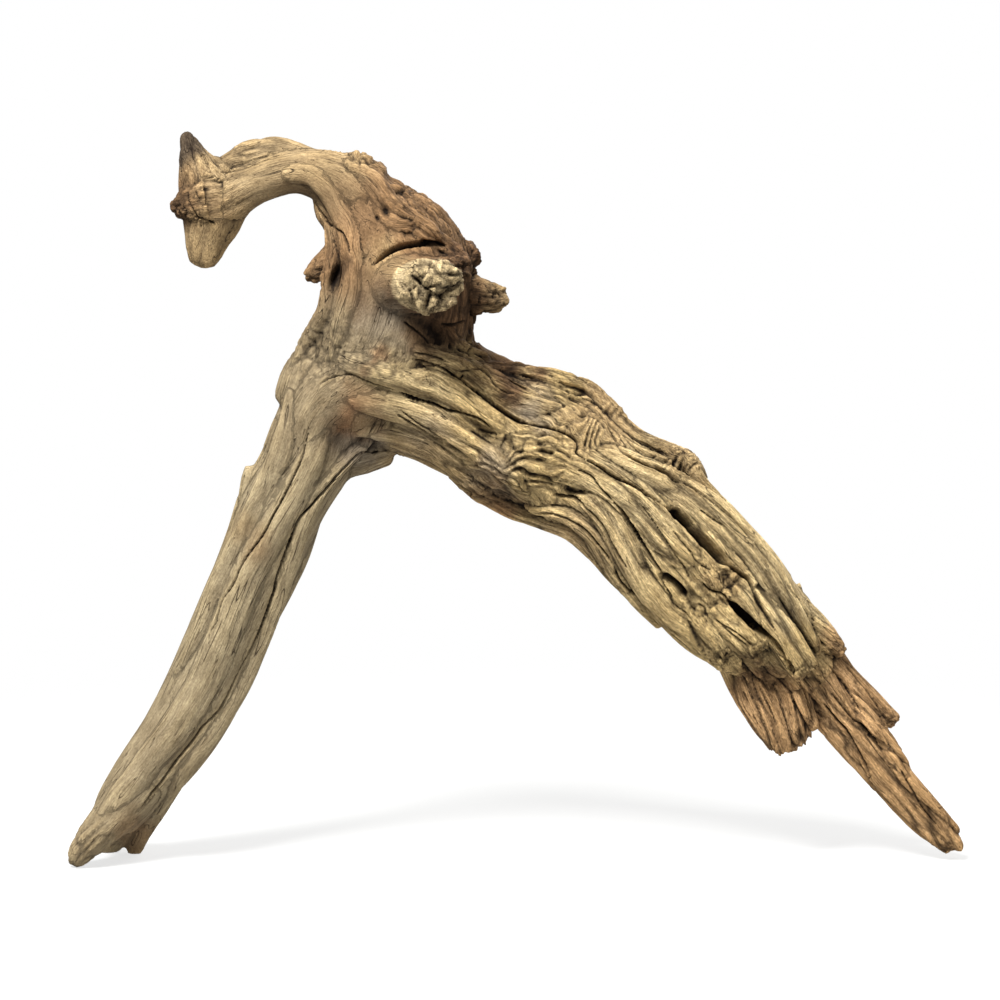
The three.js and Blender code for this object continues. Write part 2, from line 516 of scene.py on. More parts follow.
SHARDS: dict[str, Member] = {
    "plank_a": Member([(108, 108, -8, 9), (117.5, 84, -11, 8.2), (126.5, 66, -12, 6.5),
           (131.5, 55, -12, 3.6)], 0.62),
    "plank_b": Member([(115, 108, -9, 10), (125, 82, -11, 9.5), (132.5, 63, -12, 7.4),
           (136.5, 54, -12, 4.2)], 0.6),
    "plank_c": Member([(122, 108, -7, 10), (132, 84, -9.5, 9), (138, 66, -10.5, 7.2),
           (142.5, 57, -10.5, 4.4)], 0.62),
    "plank_d": Member([(130, 106, -6, 8), (138, 84, -8, 7), (144, 69, -9, 5.5), (147.5, 60, -9, 3.5)], 0.8),
    "plank_e": Member([(134, 104, -10, 6), (143, 86, -12, 4.5), (149, 72, -12, 3), (151, 66, -12, 1.6)], 0.9),
    "long_splinter": Member(
        [(130, 116, 0, 18), (146, 95, 0, 14), (163, 74, 0, 11.5), (182, 51, -1, 10.2), (200, 30, -2, 9.8),
         (213, 15.5, -3, 8.8), (220.5, 7, -4, 7.4), (222.5, 3, -4, 5.5)],
        0.95,
        twist=0.3,
    ),
    "splinter_edge": Member([(140, 94, 0, 6), (160, 66, -7, 5), (176, 46, -5, 3.2), (183, 35.5, -4, 1.2)],
           0.8),
    "splinter_top": Member([(172, 70, 0, 5), (194, 44, -7, 5), (210, 27, -7, 4), (223.5, 14, -6, 2)], 0.8),
    "upper_plank": Member([(131, 130, 4, 16), (148, 111, 3, 11), (164, 92, 3, 8.2), (181, 75.5, 3, 7.4),
           (190.5, 68.5, 3, 5.2)],
                          0.85),
    "fringe_a": Member([(166, 84, 0, 5), (182, 66, -4, 4.5), (194, 54.5, -4, 1.2)], 0.9),
    "fringe_b": Member([(170, 78, 0, 4), (188, 58, -7, 4), (200.5, 43.8, -6, 1)], 0.8),
    "fringe_c": Member([(164, 84, 0, 3), (180, 67, -10, 3), (188.5, 57, -10, 0.9)], 0.8),
    "fringe_d": Member([(175, 68, 1, 3), (191, 50.5, -9.5, 2.8), (200, 39, -10, 0.9)], 0.8),
    "crust_low": Member([(88, 130, -19, 12), (99, 115, -20, 11), (107, 103.5, -19, 8.5)], 0.8),
    "crust_middle": Member([(102, 130, -21, 12), (113, 116, -23, 10.5), (121, 106, -22, 8.5)], 0.8),
    "finger": Member([(118, 134, -20, 10), (131, 117, -22, 9.5), (140, 105, -21, 9), (146.5, 95, -19, 7.5)],
           0.85),
    "crust_flake": Member([(138, 126, -4, 11), (151, 117, -4, 8), (161, 108.5, -4, 5.5),
           (166, 105, -4, 3.2)], 0.9),
    "stub": Member([(-34, 287, -8, 13), (-20, 285, -9, 10), (-9, 283.8, -9, 7), (-4.5, 284, -9, 5)], 0.9),
    "hook_flake": Member([(-152, 331, -8, 15), (-163, 329, -8, 9), (-169, 326, -8, 4)], 0.8),
    "stump_flake": Member([(-88, 300, -6, 12), (-98, 296, -8, 6), (-103.5, 291.5, -8, 1.2)], 0.9),
}

FOLDS: list[Fold] = [
    # limb, from its crest down to its lower edge
    Fold([(-18, 250, 3), (2, 246, 6), (22, 241, 7), (36, 236, 7), (48, 224, 7), (60, 213, 6), (74, 207, 6),
          (84, 201, 7), (92, 190, 5), (104, 180, 3)]),
    Fold([(50, 214, 3), (60, 205, 5), (70, 201, 5), (78, 198, 3)], 0.25),
    Fold([(36, 208, 5), (50, 202, 8), (66, 194, 10), (82, 184, 11), (100, 170, 12), (116, 154, 11),
           (128, 138, 10),
          (138, 122, 9), (147, 108, 8), (152, 97, 6)], 0.22),
    Fold([(-14, 216, 5), (4, 209, 10), (24, 202, 12), (42, 194, 12), (56, 184, 12), (70, 170, 12),
           (84, 156, 11),
          (95, 147, 8)], 0.2),
    Fold([(26, 190, 4), (38, 184, 7), (48, 174, 9), (56, 161, 10), (64, 147, 10), (76, 131, 11),
           (90, 119, 12),
          (104, 108, 11), (116, 100, 7)], 0.2),
    Fold([(8, 180, 4), (24, 178, 6), (38, 169, 7), (47, 157, 8), (54, 145, 8), (63, 134, 7), (76, 122, 7)],
           0.22),
    Fold([(-20, 188, 5), (-4, 180, 6), (14, 173, 6), (30, 167, 6), (43, 155, 6), (53, 143, 6), (64, 131, 5)],
           0.2),
    Fold([(106, 142, 4), (114, 132, 6), (122, 120, 6), (130, 110, 5), (136, 102, 3)], 0.25),
    Fold([(122, 140, 3), (129, 126, 5), (138, 111, 6), (146, 100, 5), (150, 92, 3)], 0.25),
    # crown
    Fold([(-92, 256, 6), (-75, 250, 9), (-52, 243, 9), (-32, 235, 8), (-14, 223, 8), (0, 213, 6)], 0.25),
    Fold([(-92, 236, 4), (-72, 232, 7), (-50, 226, 8), (-32, 218, 8), (-16, 208, 8), (-2, 197, 7),
           (8, 188, 4)], 0.25),
    Fold([(-78, 219, 5), (-58, 216, 6), (-42, 210, 6), (-28, 200, 6), (-14, 189, 5)], 0.25),
    Fold([(-62, 266, 4), (-44, 256, 6), (-26, 248, 7), (-8, 236, 8), (8, 229, 8), (22, 226, 6)], 0.3),
    # leg, from its outer edge inwards
    Fold([(-108, 240, 5), (-111.5, 218, 7), (-117.5, 198, 8), (-129, 176, 7), (-140, 153, 7), (-150, 132, 7),
          (-159, 111, 6), (-168, 93, 4)], 0.2),
    Fold([(-92, 222, 5), (-100, 206, 7), (-107, 192, 8), (-118, 172, 9), (-130, 151, 9), (-139, 130, 9),
          (-148, 108, 9), (-158, 86, 9), (-171, 65, 9), (-186, 46, 8), (-199, 30, 7), (-211, 14, 5)], 0.2),
    Fold([(-74, 214, 5), (-86, 203, 6), (-99, 187, 6), (-108, 168, 6), (-114, 150, 6), (-121, 130, 6),
          (-130, 108, 6), (-139, 88, 6), (-152, 67, 6), (-168, 45, 6), (-182, 24, 5)], 0.2),
    # stump
    Fold([(-108, 250, 4), (-101, 262, 6), (-93, 276, 6), (-90, 292, 6), (-89, 308, 5), (-91, 322, 4)], 0.3),
    Fold([(-88, 252, 5), (-84, 270, 7), (-79, 290, 8), (-79, 312, 8), (-86, 330, 8), (-98, 343, 6),
           (-110, 345, 5), (-120, 342, 4)], 0.2),
    Fold([(-84, 347, 5), (-72, 341, 6), (-60, 327, 7), (-45, 315, 7), (-32, 305, 6), (-24, 298, 4)], 0.3),
    Fold([(-72, 328, 4), (-60, 320, 5), (-46, 317, 5), (-34, 309, 4)], 0.3),
    Fold([(-34, 268, 3), (-30, 262, 4), (-25, 258, 3.5), (-14, 254, 3)], 0.4),
]


@dataclass(frozen=True)
class BackGrain:
    """Strands that wind down the far side of a limb.

    Attributes:
        limb: The limb's name in CORE.
        count: Strands over the far half.
        thick: A strand's radius over the limb's.
        turns: Turns of the strands from the limb's root to its end.
    """

    limb: str
    count: int = 5
    thick: float = 0.36
    turns: float = 0.12

    def strands(self) -> list[Strand]:
        """Lays the strands over the limb's far half, from one edge to the other.

        Returns:
            The strands.
        """
        line = CORE[self.limb].strand()
        picks = np.linspace(1, len(line.centre) - 2, max(5, len(line.centre) // 9)).astype(int)
        share = picks / len(line.centre)
        made = []
        for index in range(self.count):
            wander = value_noise(np.column_stack([share * 5.0, share * 0.0 + index * 3.7, share * 0.0]), 5)
            angle = math.pi * (0.08 + 0.84 * index / (self.count - 1))
            angle = angle + (share - 0.5) * self.turns * 2 * math.pi
            angle = angle + 0.22 * wander
            reach = line.radius[picks] * (1.0 - self.thick * 0.86)
            reach[[0, -1]] *= 0.35
            reach[[1, -2]] *= 0.88
            deep = line.deep[picks] * np.sin(angle)[:, None] * line.squash
            out = line.side[picks] * np.cos(angle)[:, None] + deep
            centre = line.centre[picks] + out * reach[:, None]
            radius = line.radius[picks] * self.thick * (1.0 + 0.18 * wander)
            made.append(Strand(np.column_stack([centre, radius]), 0.9))
        return made


BACK = [
    BackGrain("stump", 6, 0.33, 0.1), BackGrain("left_leg", 4, 0.42, 0.2),
    BackGrain("right_limb", 6, 0.34, 0.15), BackGrain("hook", 3, 0.45, 0.2),
]


# ---------------------------------------------------------------------------------------------------------
# What weather and breaking left on the front


@dataclass(frozen=True)
class Crack:
    """A drying crack or an open slot.

    Attributes:
        path: Drawn x and z, mm.
        width: Width of its mouth at the middle, mm.
        depth: Depth at the middle, mm.
    """

    path: Rows
    width: float = 1.2
    depth: float = 2.4


@dataclass(frozen=True)
class Hollow:
    """A pressed-in dish.

    Attributes:
        x: Drawn x of the middle, mm.
        z: Drawn z of the middle, mm.
        long: Half its length, mm.
        wide: Half its width, mm.
        tilt: Angle of its length above +X, degrees.
        depth: Depth at the middle, mm.
        dark: How much painted shade lies on its floor, 0 to 1.
    """

    x: float
    z: float
    long: float
    wide: float
    tilt: float
    depth: float
    dark: float = 0.5


CRACKS: list[Crack] = [
    # the long crack from the crown down the limb, with its open slot
    Crack([(-52, 253), (-40, 250), (-30, 244.5), (-20, 237.5)], 1.6, 3),
    Crack([(-24, 240.5), (-18, 236), (-10, 230), (0, 223), (8, 220)], 2.8, 5),
    Crack([(5, 220.5), (14, 219), (22, 217), (30, 213), (32, 210), (31, 206), (36, 202.5)], 1.6, 3),
    Crack([(34, 203.5), (42, 199.5), (50, 194), (60, 189.5), (70, 183.5), (80, 176.5)], 1.7, 4),
    Crack([(76, 179.5), (84, 173), (91, 166), (98, 159), (104, 153), (109, 149)], 6.6, 13),
    Crack([(105, 151.5), (112, 146), (117, 142.5), (119.5, 138), (122, 132), (126, 124), (131, 116)], 2.4, 5),
    # the broken slot below it
    Crack([(94, 141), (97, 137), (100, 135.5), (104, 135), (108, 131)], 1.2, 3),
    Crack([(107, 131.5), (113, 126), (119, 120), (126, 114), (130, 110), (134, 104.5), (137, 100)], 4.2, 11),
    Crack([(136, 102), (139, 97), (143.5, 90.5)], 3.6, 9),
    Crack([(143, 91), (146, 86), (148, 80), (150, 74), (151, 69)], 1.5, 4),
    # limb, upper side
    Crack([(46, 219), (50, 213), (53, 208), (58, 204), (65, 200.5), (72, 198)], 1.6, 3),
    Crack([(70, 199), (77, 196.5), (80, 193.5), (84, 191)], 3.2, 5),
    Crack([(82, 192), (88, 189.5), (95, 185), (103, 178.5), (111, 171.5), (120, 161)], 1.1, 2.4),
    Crack([(52, 217.5), (58, 210), (64, 206), (70, 204), (76, 204.5), (81, 201)], 0.9, 1.8),
    Crack([(92, 178), (100, 172), (107, 168)], 0.9, 1.8),
    Crack([(78, 169), (83, 162.5), (88, 156.5), (91, 151.5), (95, 148.5), (100, 146)], 0.9, 2),
    Crack([(60, 184), (65, 178), (70, 171), (75, 163), (80, 155), (85, 148), (88, 142), (92, 139)], 0.9, 1.6),
    # limb, lower side
    Crack([(30, 198), (35, 196), (39, 193.5), (43, 188), (50, 181)], 1.1, 2.4),
    Crack([(49, 182), (54, 176), (58, 170), (62, 163.5), (66, 157), (70, 150.5), (75, 144)], 2, 4.5),
    Crack([(73, 145), (79, 140.5), (83, 136.5), (85.5, 131.5)], 5.2, 6),
    Crack([(72, 146), (74, 141), (78, 135), (80, 130), (86, 125), (90, 121)], 1, 1.8),
    Crack([(19, 185), (25, 184.3), (30, 183), (36, 178.5)], 2.2, 4),
    Crack([(33, 181), (40, 174), (44, 169), (47, 163), (50, 158), (53, 153), (57, 147)], 1.5, 3.2),
    Crack([(10, 176), (20, 175), (28, 171.5), (35, 167.5), (40, 162), (46, 154.5), (50, 149)], 1.2, 2.6),
    Crack([(50, 149), (51.5, 144), (54, 140), (60, 134), (66, 127.5), (69, 124)], 1.6, 3.2),
    Crack([(99, 123), (103, 120), (110, 116), (116, 111.5), (121, 107)], 1, 2),
    Crack([(104, 118.5), (111, 113), (118, 108)], 0.8, 1.4),
    Crack([(132, 134), (138, 125), (145, 115), (151, 106), (155, 100)], 1.8, 3),
    Crack([(136, 142), (142, 133), (150, 122), (157, 112)], 1, 2),
    # crown
    Crack([(-100, 238), (-92, 243.5), (-82, 245), (-76, 242.5), (-68, 239.5), (-58, 236.5)], 0.9, 1.8),
    Crack([(-60, 237), (-50, 233), (-40, 230), (-30, 226), (-20, 224), (-14, 220.5), (-11, 217)], 1.5, 3),
    Crack([(-60, 226), (-50, 219), (-45, 216), (-40, 213), (-30, 208), (-20, 201), (-14, 196.5)], 1.4, 2.8),
    Crack([(-58, 228.5), (-50, 221.5), (-40, 214.8), (-32, 210)], 0.9, 1.6),
    Crack([(-16, 195), (-8, 193), (0, 189), (6, 185.5)], 1, 2),
    Crack([(-50, 256), (-42, 254.5), (-34, 252)], 1.5, 2.6),
    Crack([(-30, 246), (-16, 247.5), (-10, 240), (-4, 236), (2, 235.5)], 1, 2),
    # leg
    Crack([(-102, 222), (-104, 212), (-107, 202), (-111, 193), (-116, 183), (-121, 174), (-125, 166),
           (-130, 159),
           (-134, 154), (-138, 147), (-141, 140), (-147, 131), (-150, 121), (-153, 115),
           (-154, 107)], 1.2, 2.6),
    Crack([(-60, 204), (-70, 206), (-76, 206), (-82, 201), (-88, 195), (-94, 188), (-101, 180), (-108, 172),
           (-112, 163), (-116, 152), (-119, 143), (-121, 135), (-125, 124), (-129, 114), (-134, 104),
           (-140, 93)],
          1.5, 3.2),
    Crack([(-138, 97), (-146, 80), (-151, 73), (-157, 67), (-162, 60), (-170, 50), (-178, 39), (-185, 30),
           (-190, 23)], 1.5, 3.2),
    # stump and hook
    Crack([(-100, 332), (-92, 320), (-86, 316), (-83, 310), (-82, 305)], 1.6, 3),
    Crack([(-70, 300), (-62, 306.5), (-51, 310), (-38, 310), (-26, 306.5)], 3.4, 6),
    Crack([(-37, 270), (-28, 270.5), (-20, 275)], 1.6, 3),
    Crack([(-56, 272), (-48, 266), (-41, 260)], 1.4, 2.6),
    Crack([(-163, 345), (-157, 334), (-150, 322)], 1.0, 1.6),
    Crack([(-167, 341), (-162, 333), (-158, 325), (-155, 317)], 1.2, 2.0),
    Crack([(-150, 345), (-142, 346), (-133, 348.5), (-125, 349)], 1.2, 2.2),
    Crack([(-159, 324), (-153, 322), (-148, 320)], 1.4, 2.6),
    # broken ends
    Crack([(159, 86), (168, 75), (178, 64), (188, 51)], 1.2, 2.4),
    Crack([(154, 81), (162, 71), (168, 64), (175, 51), (181, 39)], 1.4, 2.6),
    Crack([(192, 50), (200, 36), (208, 24), (216, 14)], 1.2, 2.2),
    Crack([(156, 100), (163, 93), (170, 83), (176, 73)], 1.3, 2.6),
    Crack([(166, 100), (174, 90), (182, 79), (187, 72)], 0.9, 1.8),
    Crack([(121, 92), (127, 80), (133, 66)], 1.0, 2),
    Crack([(110, 96), (116, 83), (123, 67)], 0.9, 1.8),
    Crack([(-58, 351), (-48, 341), (-38, 333), (-30, 325)], 1, 1.8),
]

HOLLOWS: list[Hollow] = [Hollow(*row) for row in (
    (-89, 213, 15, 9, 100, 3.5, 0.35),
    (-42, 267, 14, 7, -40, 9, 0.6),
    (-48, 292, 4.6, 1.3, -40, 3, 0.95),
    (-42, 289, 4.0, 1.2, 20, 3, 0.95),
    (-43, 282, 5.0, 1.6, 75, 4, 1.0),
    (-37, 285, 4.4, 1.2, 40, 3, 0.95),
    (-51, 285, 3.4, 1.0, -60, 2.5, 0.8),
    (-33, 289, 5.0, 1.2, 5, 3, 0.95),
    (-88, 294, 10, 4, 65, 7, 0.95),
    (-15, 215, 8, 6, -50, 3.5, 0.55),
    (29, 187, 6, 2.2, -8, 3, 0.9),
    (127, 96, 14, 9, -58, 4, 0.3),
    (2, 241, 12, 5, 5, 3, 0.5),
    (-64, 326, 2.6, 2.6, 0, 3, 0.95),
    (-68, 323, 1.8, 1.8, 0, 2, 0.9),
)]


class Tone(Enum):
    """The colours that weather leaves on root wood, sRGB hex; BARK also paints the shadow round the knob."""

    SILVER = "95876E"
    ASH = "A1947A"
    TAN = "C3B089"
    STRAW = "BCA67A"
    DUN = "A48E6C"
    UMBER = "856A4E"
    BARK = "614A36"
    FRESH = "AE8E69"
    SPLINTER = "AC8C66"
    CREAM = "C6B491"
    MIST = "9A9084"
    SOOT = "4A4036"
    RUST = "9A6A46"


@dataclass(frozen=True)
class Spot:
    """A round place on the drawing.

    Attributes:
        x: Drawn x of the middle, mm.
        z: Drawn z of the middle, mm.
        reach: Radius where what it does has half died out, mm.
    """

    x: float
    z: float
    reach: float

    def gap(self, drawn: np.ndarray) -> np.ndarray:
        """Measures drawn points from the middle.

        Args:
            drawn: Rows of drawn x and z, mm.

        Returns:
            Rows of offsets, mm.
        """
        return drawn - np.array([self.x, self.z])

    def share(self, drawn: np.ndarray) -> np.ndarray:
        """Measures how far out drawn points lie.

        Args:
            drawn: Rows of drawn x and z, mm.

        Returns:
            Squared distance over squared reach.
        """
        return (self.gap(drawn) ** 2).sum(1) / self.reach**2


@dataclass(frozen=True)
class Patch(Spot):
    """A colour that the weather left on a part of the wood, or a dark patch of painted shadow.

    Attributes:
        tone: The colour.
        weight: How much it counts against its neighbours.
        front: Only wood with a smaller row y than this has it, mm.
    """

    tone: Tone
    weight: float = 1.0
    front: float = 1000.0


@dataclass(frozen=True)
class Curl(Spot):
    """A place where the grain wavers round a burl.

    Attributes:
        sway: How far the grain swings to a side, mm.
        step: Length of one swing, mm.
    """

    sway: float
    step: float


CURLS: list[Curl] = [Curl(*row) for row in (
    (12, 202, 20, 3.2, 7), (36, 218, 14, 2.6, 6), (82, 202, 12, 2.4, 6),
    (-16, 192, 14, 2.0, 8),
    (104, 142, 12, 2.4, 6), (-84, 318, 18, 2.4, 10), (-44, 255, 16, 2.2, 8),
)]


@dataclass(frozen=True)
class Rough(Spot):
    """A place where the wood is gnarled or torn instead of combed along its grain.

    Attributes:
        height: Height of its lumps, mm.
        size: Width of its lumps, mm.
        stretch: Length of a lump along the grain over its width.
    """

    height: float
    size: float
    stretch: float = 1.0


@dataclass(frozen=True)
class Smooth(Spot):
    """A place that water has worn smooth, with little fibre left standing."""


@dataclass(frozen=True)
class Ripple(Spot):
    """Bowed ripples of grain, stacked against a burl.

    Attributes:
        step: From one ripple to the next, mm.
        height: Height over the wood, mm.
        bow: Bow of a ripple, 1/mm.
        tilt: Turn of the stack from upright, degrees.
    """

    step: float
    height: float
    bow: float
    tilt: float = 0.0


@dataclass(frozen=True)
class Torn(Spot):
    """A broken end whose fibres stop at different lengths.

    Attributes:
        heading: Direction that the fibres point in, degrees from +x.
        length: How far one fibre stands out past another, mm.
    """

    heading: float
    length: float


@dataclass(frozen=True)
class Broken(Spot):
    """A broken face: flat chips that stand at different heights and tilts, with gaps between them.

    Attributes:
        size: Size of one chip, mm.
        height: How far a chip stands in or out, mm.
    """

    size: float
    height: float


BROKEN: list[Broken] = [Broken(*row) for row in (
    (-42, 290, 15, 11, 2.4), (-42, 290, 14, 4.4, 0.6), (-24, 298, 6, 3.4, 1.2),
    (-7, 284, 6, 3.0, 0.9), (-168, 327, 6, 3.2, 1.2), (147, 94, 6, 2.6, 0.7),
    (104, 102, 6, 2.6, 0.7), (122, 106, 6, 2.6, 0.7), (163, 105, 5, 2.4, 0.6),
    (188, 70, 5, 2.4, 0.6),
)]

SMOOTH: list[Smooth] = [Smooth(*row) for row in (
    (-92, 262, 26), (-76, 286, 16), (-110, 346, 22), (-84, 330, 18),
    (-60, 312, 14),
    (-150, 312, 14), (-66, 298, 10), (-120, 345, 16), (-64, 256, 14),
)]

RIPPLES: list[Ripple] = [Ripple(*row) for row in (
    (11, 202, 15, 4.5, 1.0, 0.02), (34, 216, 10, 3.8, 0.8, 0.03, 62),
    (84, 199, 8, 3.2, 0.8, 0.06, 55),
    (-16, 193, 10, 4.2, 0.7, 0.02, -25), (47, 224, 8, 3.4, 0.7, 0.03, 75),
)]

TORN: list[Torn] = [Torn(*row) for row in (
    (128, 58, 9, -70, 4.0), (143, 61, 8, -62, 4.0), (190, 69, 8, -42, 3.5),
    (166, 106, 6, -52, 3.0),
    (111, 98, 10, -58, 3.0), (126, 103, 9, -58, 3.0), (148, 92, 6, -62, 2.0),
    (222, 5, 7, -50, 2.5),
    (197, 48, 8, -50, 3.5), (-4, 284, 5, 0, 2.0), (-222, 0, 6, -125, 2.0),
)]

ROUGH: list[Rough] = [Rough(*row) for row in (
    # knob, stub and the small lumps round the hook
    (-24, 298, 8, 1.8, 6), (-9, 284, 9, 1.4, 4, 1.6),
    (-75, 354, 6, 2.0, 3.6), (-161, 333, 10, 0.7, 3.0, 5.0),
    (-101, 293, 7, 1.8, 4), (-128, 358, 14, 1.2, 4, 4.0),
    (-96, 256, 18, 0.7, 3.5), (-66, 252, 12, 0.8, 3.2),
    # torn crest of the stump and the shoulder
    (-54, 332, 12, 2.0, 5, 2.5), (-40, 318, 12, 2.4, 5.5, 2.5), (-24, 300, 12, 2.2, 5, 2.0),
    (-22, 270, 12, 2.0, 5.5, 2.5), (-2, 244, 14, 2.4, 5.5, 2.5), (24, 240, 12, 2.0, 4.5, 2.5),
    (42, 228, 10, 1.8, 5, 1.5), (84, 202, 9, 1.6, 5, 1.5),
    # torn places near the broken ends
    (105, 142, 10, 2.0, 4), (94, 128, 9, 1.2, 5), (124, 88, 11, 1.2, 4, 4.0),
    (154, 78, 9, 1.2, 3.5, 5.0), (148, 64, 9, 1.4, 3.5, 4.0), (-215, 6, 12, 1.0, 3.5, 3.0),
    (218, 8, 10, 1.0, 3.5, 3.0),
)]

PATCHES: list[Patch] = [Patch(*row) for row in (
    # leg, from the foot up
    (-218, 4, 12, Tone.SILVER), (-205, 20, 12, Tone.SILVER, 0.6), (-192, 40, 20, Tone.ASH),
    (-165, 85, 26, Tone.ASH),
    (-142, 128, 26, Tone.ASH), (-120, 175, 24, Tone.ASH), (-104, 222, 22, Tone.SILVER),
    (-192, 14, 8, Tone.UMBER, 0.6), (-128, 158, 6, Tone.UMBER, 0.7),
    (-137, 168, 7, Tone.DUN, 0.8),
    (-83, 222, 7, Tone.RUST, 0.7),
    (-180, 55, 26, Tone.SILVER, 0.7), (-88, 262, 22, Tone.SILVER, 1.2),
    (-76, 234, 9, Tone.UMBER), (-70, 252, 3.5, Tone.RUST, 0.6),
    # stump and hook
    (-90, 296, 16, Tone.UMBER, 1.2), (-78, 316, 15, Tone.UMBER, 0.8),
    # the BARK patch at (-67, 281) is painted shadow under the knob's left side
    (-67, 281, 8, Tone.BARK, 1.0), (-72, 325, 20, Tone.UMBER), (-98, 342, 18, Tone.DUN, 0.8),
    (-120, 350, 26, Tone.DUN, 1.0), (-120, 346, 24, Tone.SILVER, 0.8),
    (-104, 338, 12, Tone.UMBER, 0.5), (-147, 318, 18, Tone.DUN),
    (-162, 332, 12, Tone.UMBER, 0.9), (-169, 328, 6, Tone.BARK, 3.0),
    (-162.5, 364, 7, Tone.SOOT, 9.0),
    (-86, 302, 7, Tone.BARK), (-40, 318, 14, Tone.UMBER, 1.3), (-22, 300, 9, Tone.BARK),
    (-41, 290, 19, Tone.CREAM, 12.0, -34.0), (-66, 302, 9, Tone.DUN, 1.6),
    (-8, 284, 9, Tone.DUN, 1.5),
    # painted shadow in the bowl under the knob and to its right
    (-24, 276, 12, Tone.BARK, 2.4), (-44, 266, 10, Tone.BARK, 1.6),
    # limb
    (-9, 199, 10, Tone.MIST, 0.9), (11, 226, 8, Tone.MIST, 0.8),
    (-42, 219, 12, Tone.MIST, 0.5),
    (-80, 211, 7, Tone.MIST, 0.7), (-66, 268, 12, Tone.MIST, 0.5),
    (-12, 184, 8, Tone.RUST, 0.4),
    (-52, 240, 16, Tone.TAN), (-30, 224, 20, Tone.STRAW), (-48, 206, 12, Tone.DUN),
    (-18, 192, 12, Tone.DUN), (12, 204, 18, Tone.STRAW), (-2, 244, 10, Tone.BARK, 1.6),
    (20, 242, 9, Tone.STRAW), (44, 222, 14, Tone.DUN), (84, 200, 12, Tone.DUN),
    (60, 175, 26, Tone.TAN), (92, 142, 22, Tone.STRAW), (112, 168, 18, Tone.TAN),
    (134, 138, 20, Tone.TAN), (36, 160, 14, Tone.DUN), (104, 142, 7, Tone.UMBER),
    (100, 116, 14, Tone.STRAW), (118, 112, 10, Tone.STRAW, 2.0),
    (143, 103, 9, Tone.STRAW, 2.5),
    # broken ends
    (124, 80, 13, Tone.FRESH, 2.2), (122, 95, 6, Tone.BARK, 1.4),
    (138, 66, 12, Tone.FRESH, 2.0), (168, 92, 14, Tone.FRESH, 1.8),
    (186, 78, 10, Tone.FRESH, 1.4), (166, 66, 12, Tone.FRESH, 1.6),
    (190, 40, 14, Tone.SPLINTER, 1.6),
    (216, 12, 14, Tone.SPLINTER, 1.6),
)]


def linear(hex_colour: str) -> tuple[float, float, float, float]:
    """Turns a colour to linear light.

    Args:
        hex_colour: sRGB hex.

    Returns:
        Linear RGBA.
    """
    parts = [int(hex_colour[start : start + 2], 16) / 255.0 for start in (0, 2, 4)]
    return (*[p / 12.92 if p <= 0.04045 else ((p + 0.055) / 1.055) ** 2.4 for p in parts], 1.0)


# ---------------------------------------------------------------------------------------------------------
# Making the wood


class Seed(IntEnum):
    """Offsets that keep the random patterns apart."""

    LUMPS = 20
    SMALL_LUMPS = 60
    WAVER = 90
    CURLS = 100
    RIPPLE_WANDER = 140
    RIPPLE_BREAKS = 150
    BUNDLES = 160
    SINGLES = 170
    TINTS = 180
    FINE_TINTS = 182
    CHIPS = 200


def new_object(name: str, bm: bmesh.types.BMesh) -> bpy.types.Object:
    """Turns a bmesh into a linked object and frees it.

    Args:
        name: The object's name.
        bm: The bmesh.

    Returns:
        The object.
    """
    mesh = bpy.data.meshes.new(name)
    bm.to_mesh(mesh)
    bm.free()
    made = bpy.data.objects.new(name, mesh)
    bpy.context.scene.collection.objects.link(made)
    return made


def settle(target: bpy.types.Object, *modifiers: tuple[str, dict[str, object]]) -> None:
    """Adds modifiers and keeps their result as the object's own mesh.

    Args:
        target: The object.
        modifiers: Modifier types with their settings, in order.
    """
    for kind, settings in modifiers:
        modifier = target.modifiers.new(kind.title(), kind)
        for key, value in settings.items():
            setattr(modifier, key, value)
    graph = bpy.context.evaluated_depsgraph_get()
    mesh = bpy.data.meshes.new_from_object(target.evaluated_get(graph))
    target.modifiers.clear()
    old = target.data
    target.data = mesh
    mesh.name = target.name
    bpy.data.meshes.remove(old)
    bpy.context.view_layer.update()


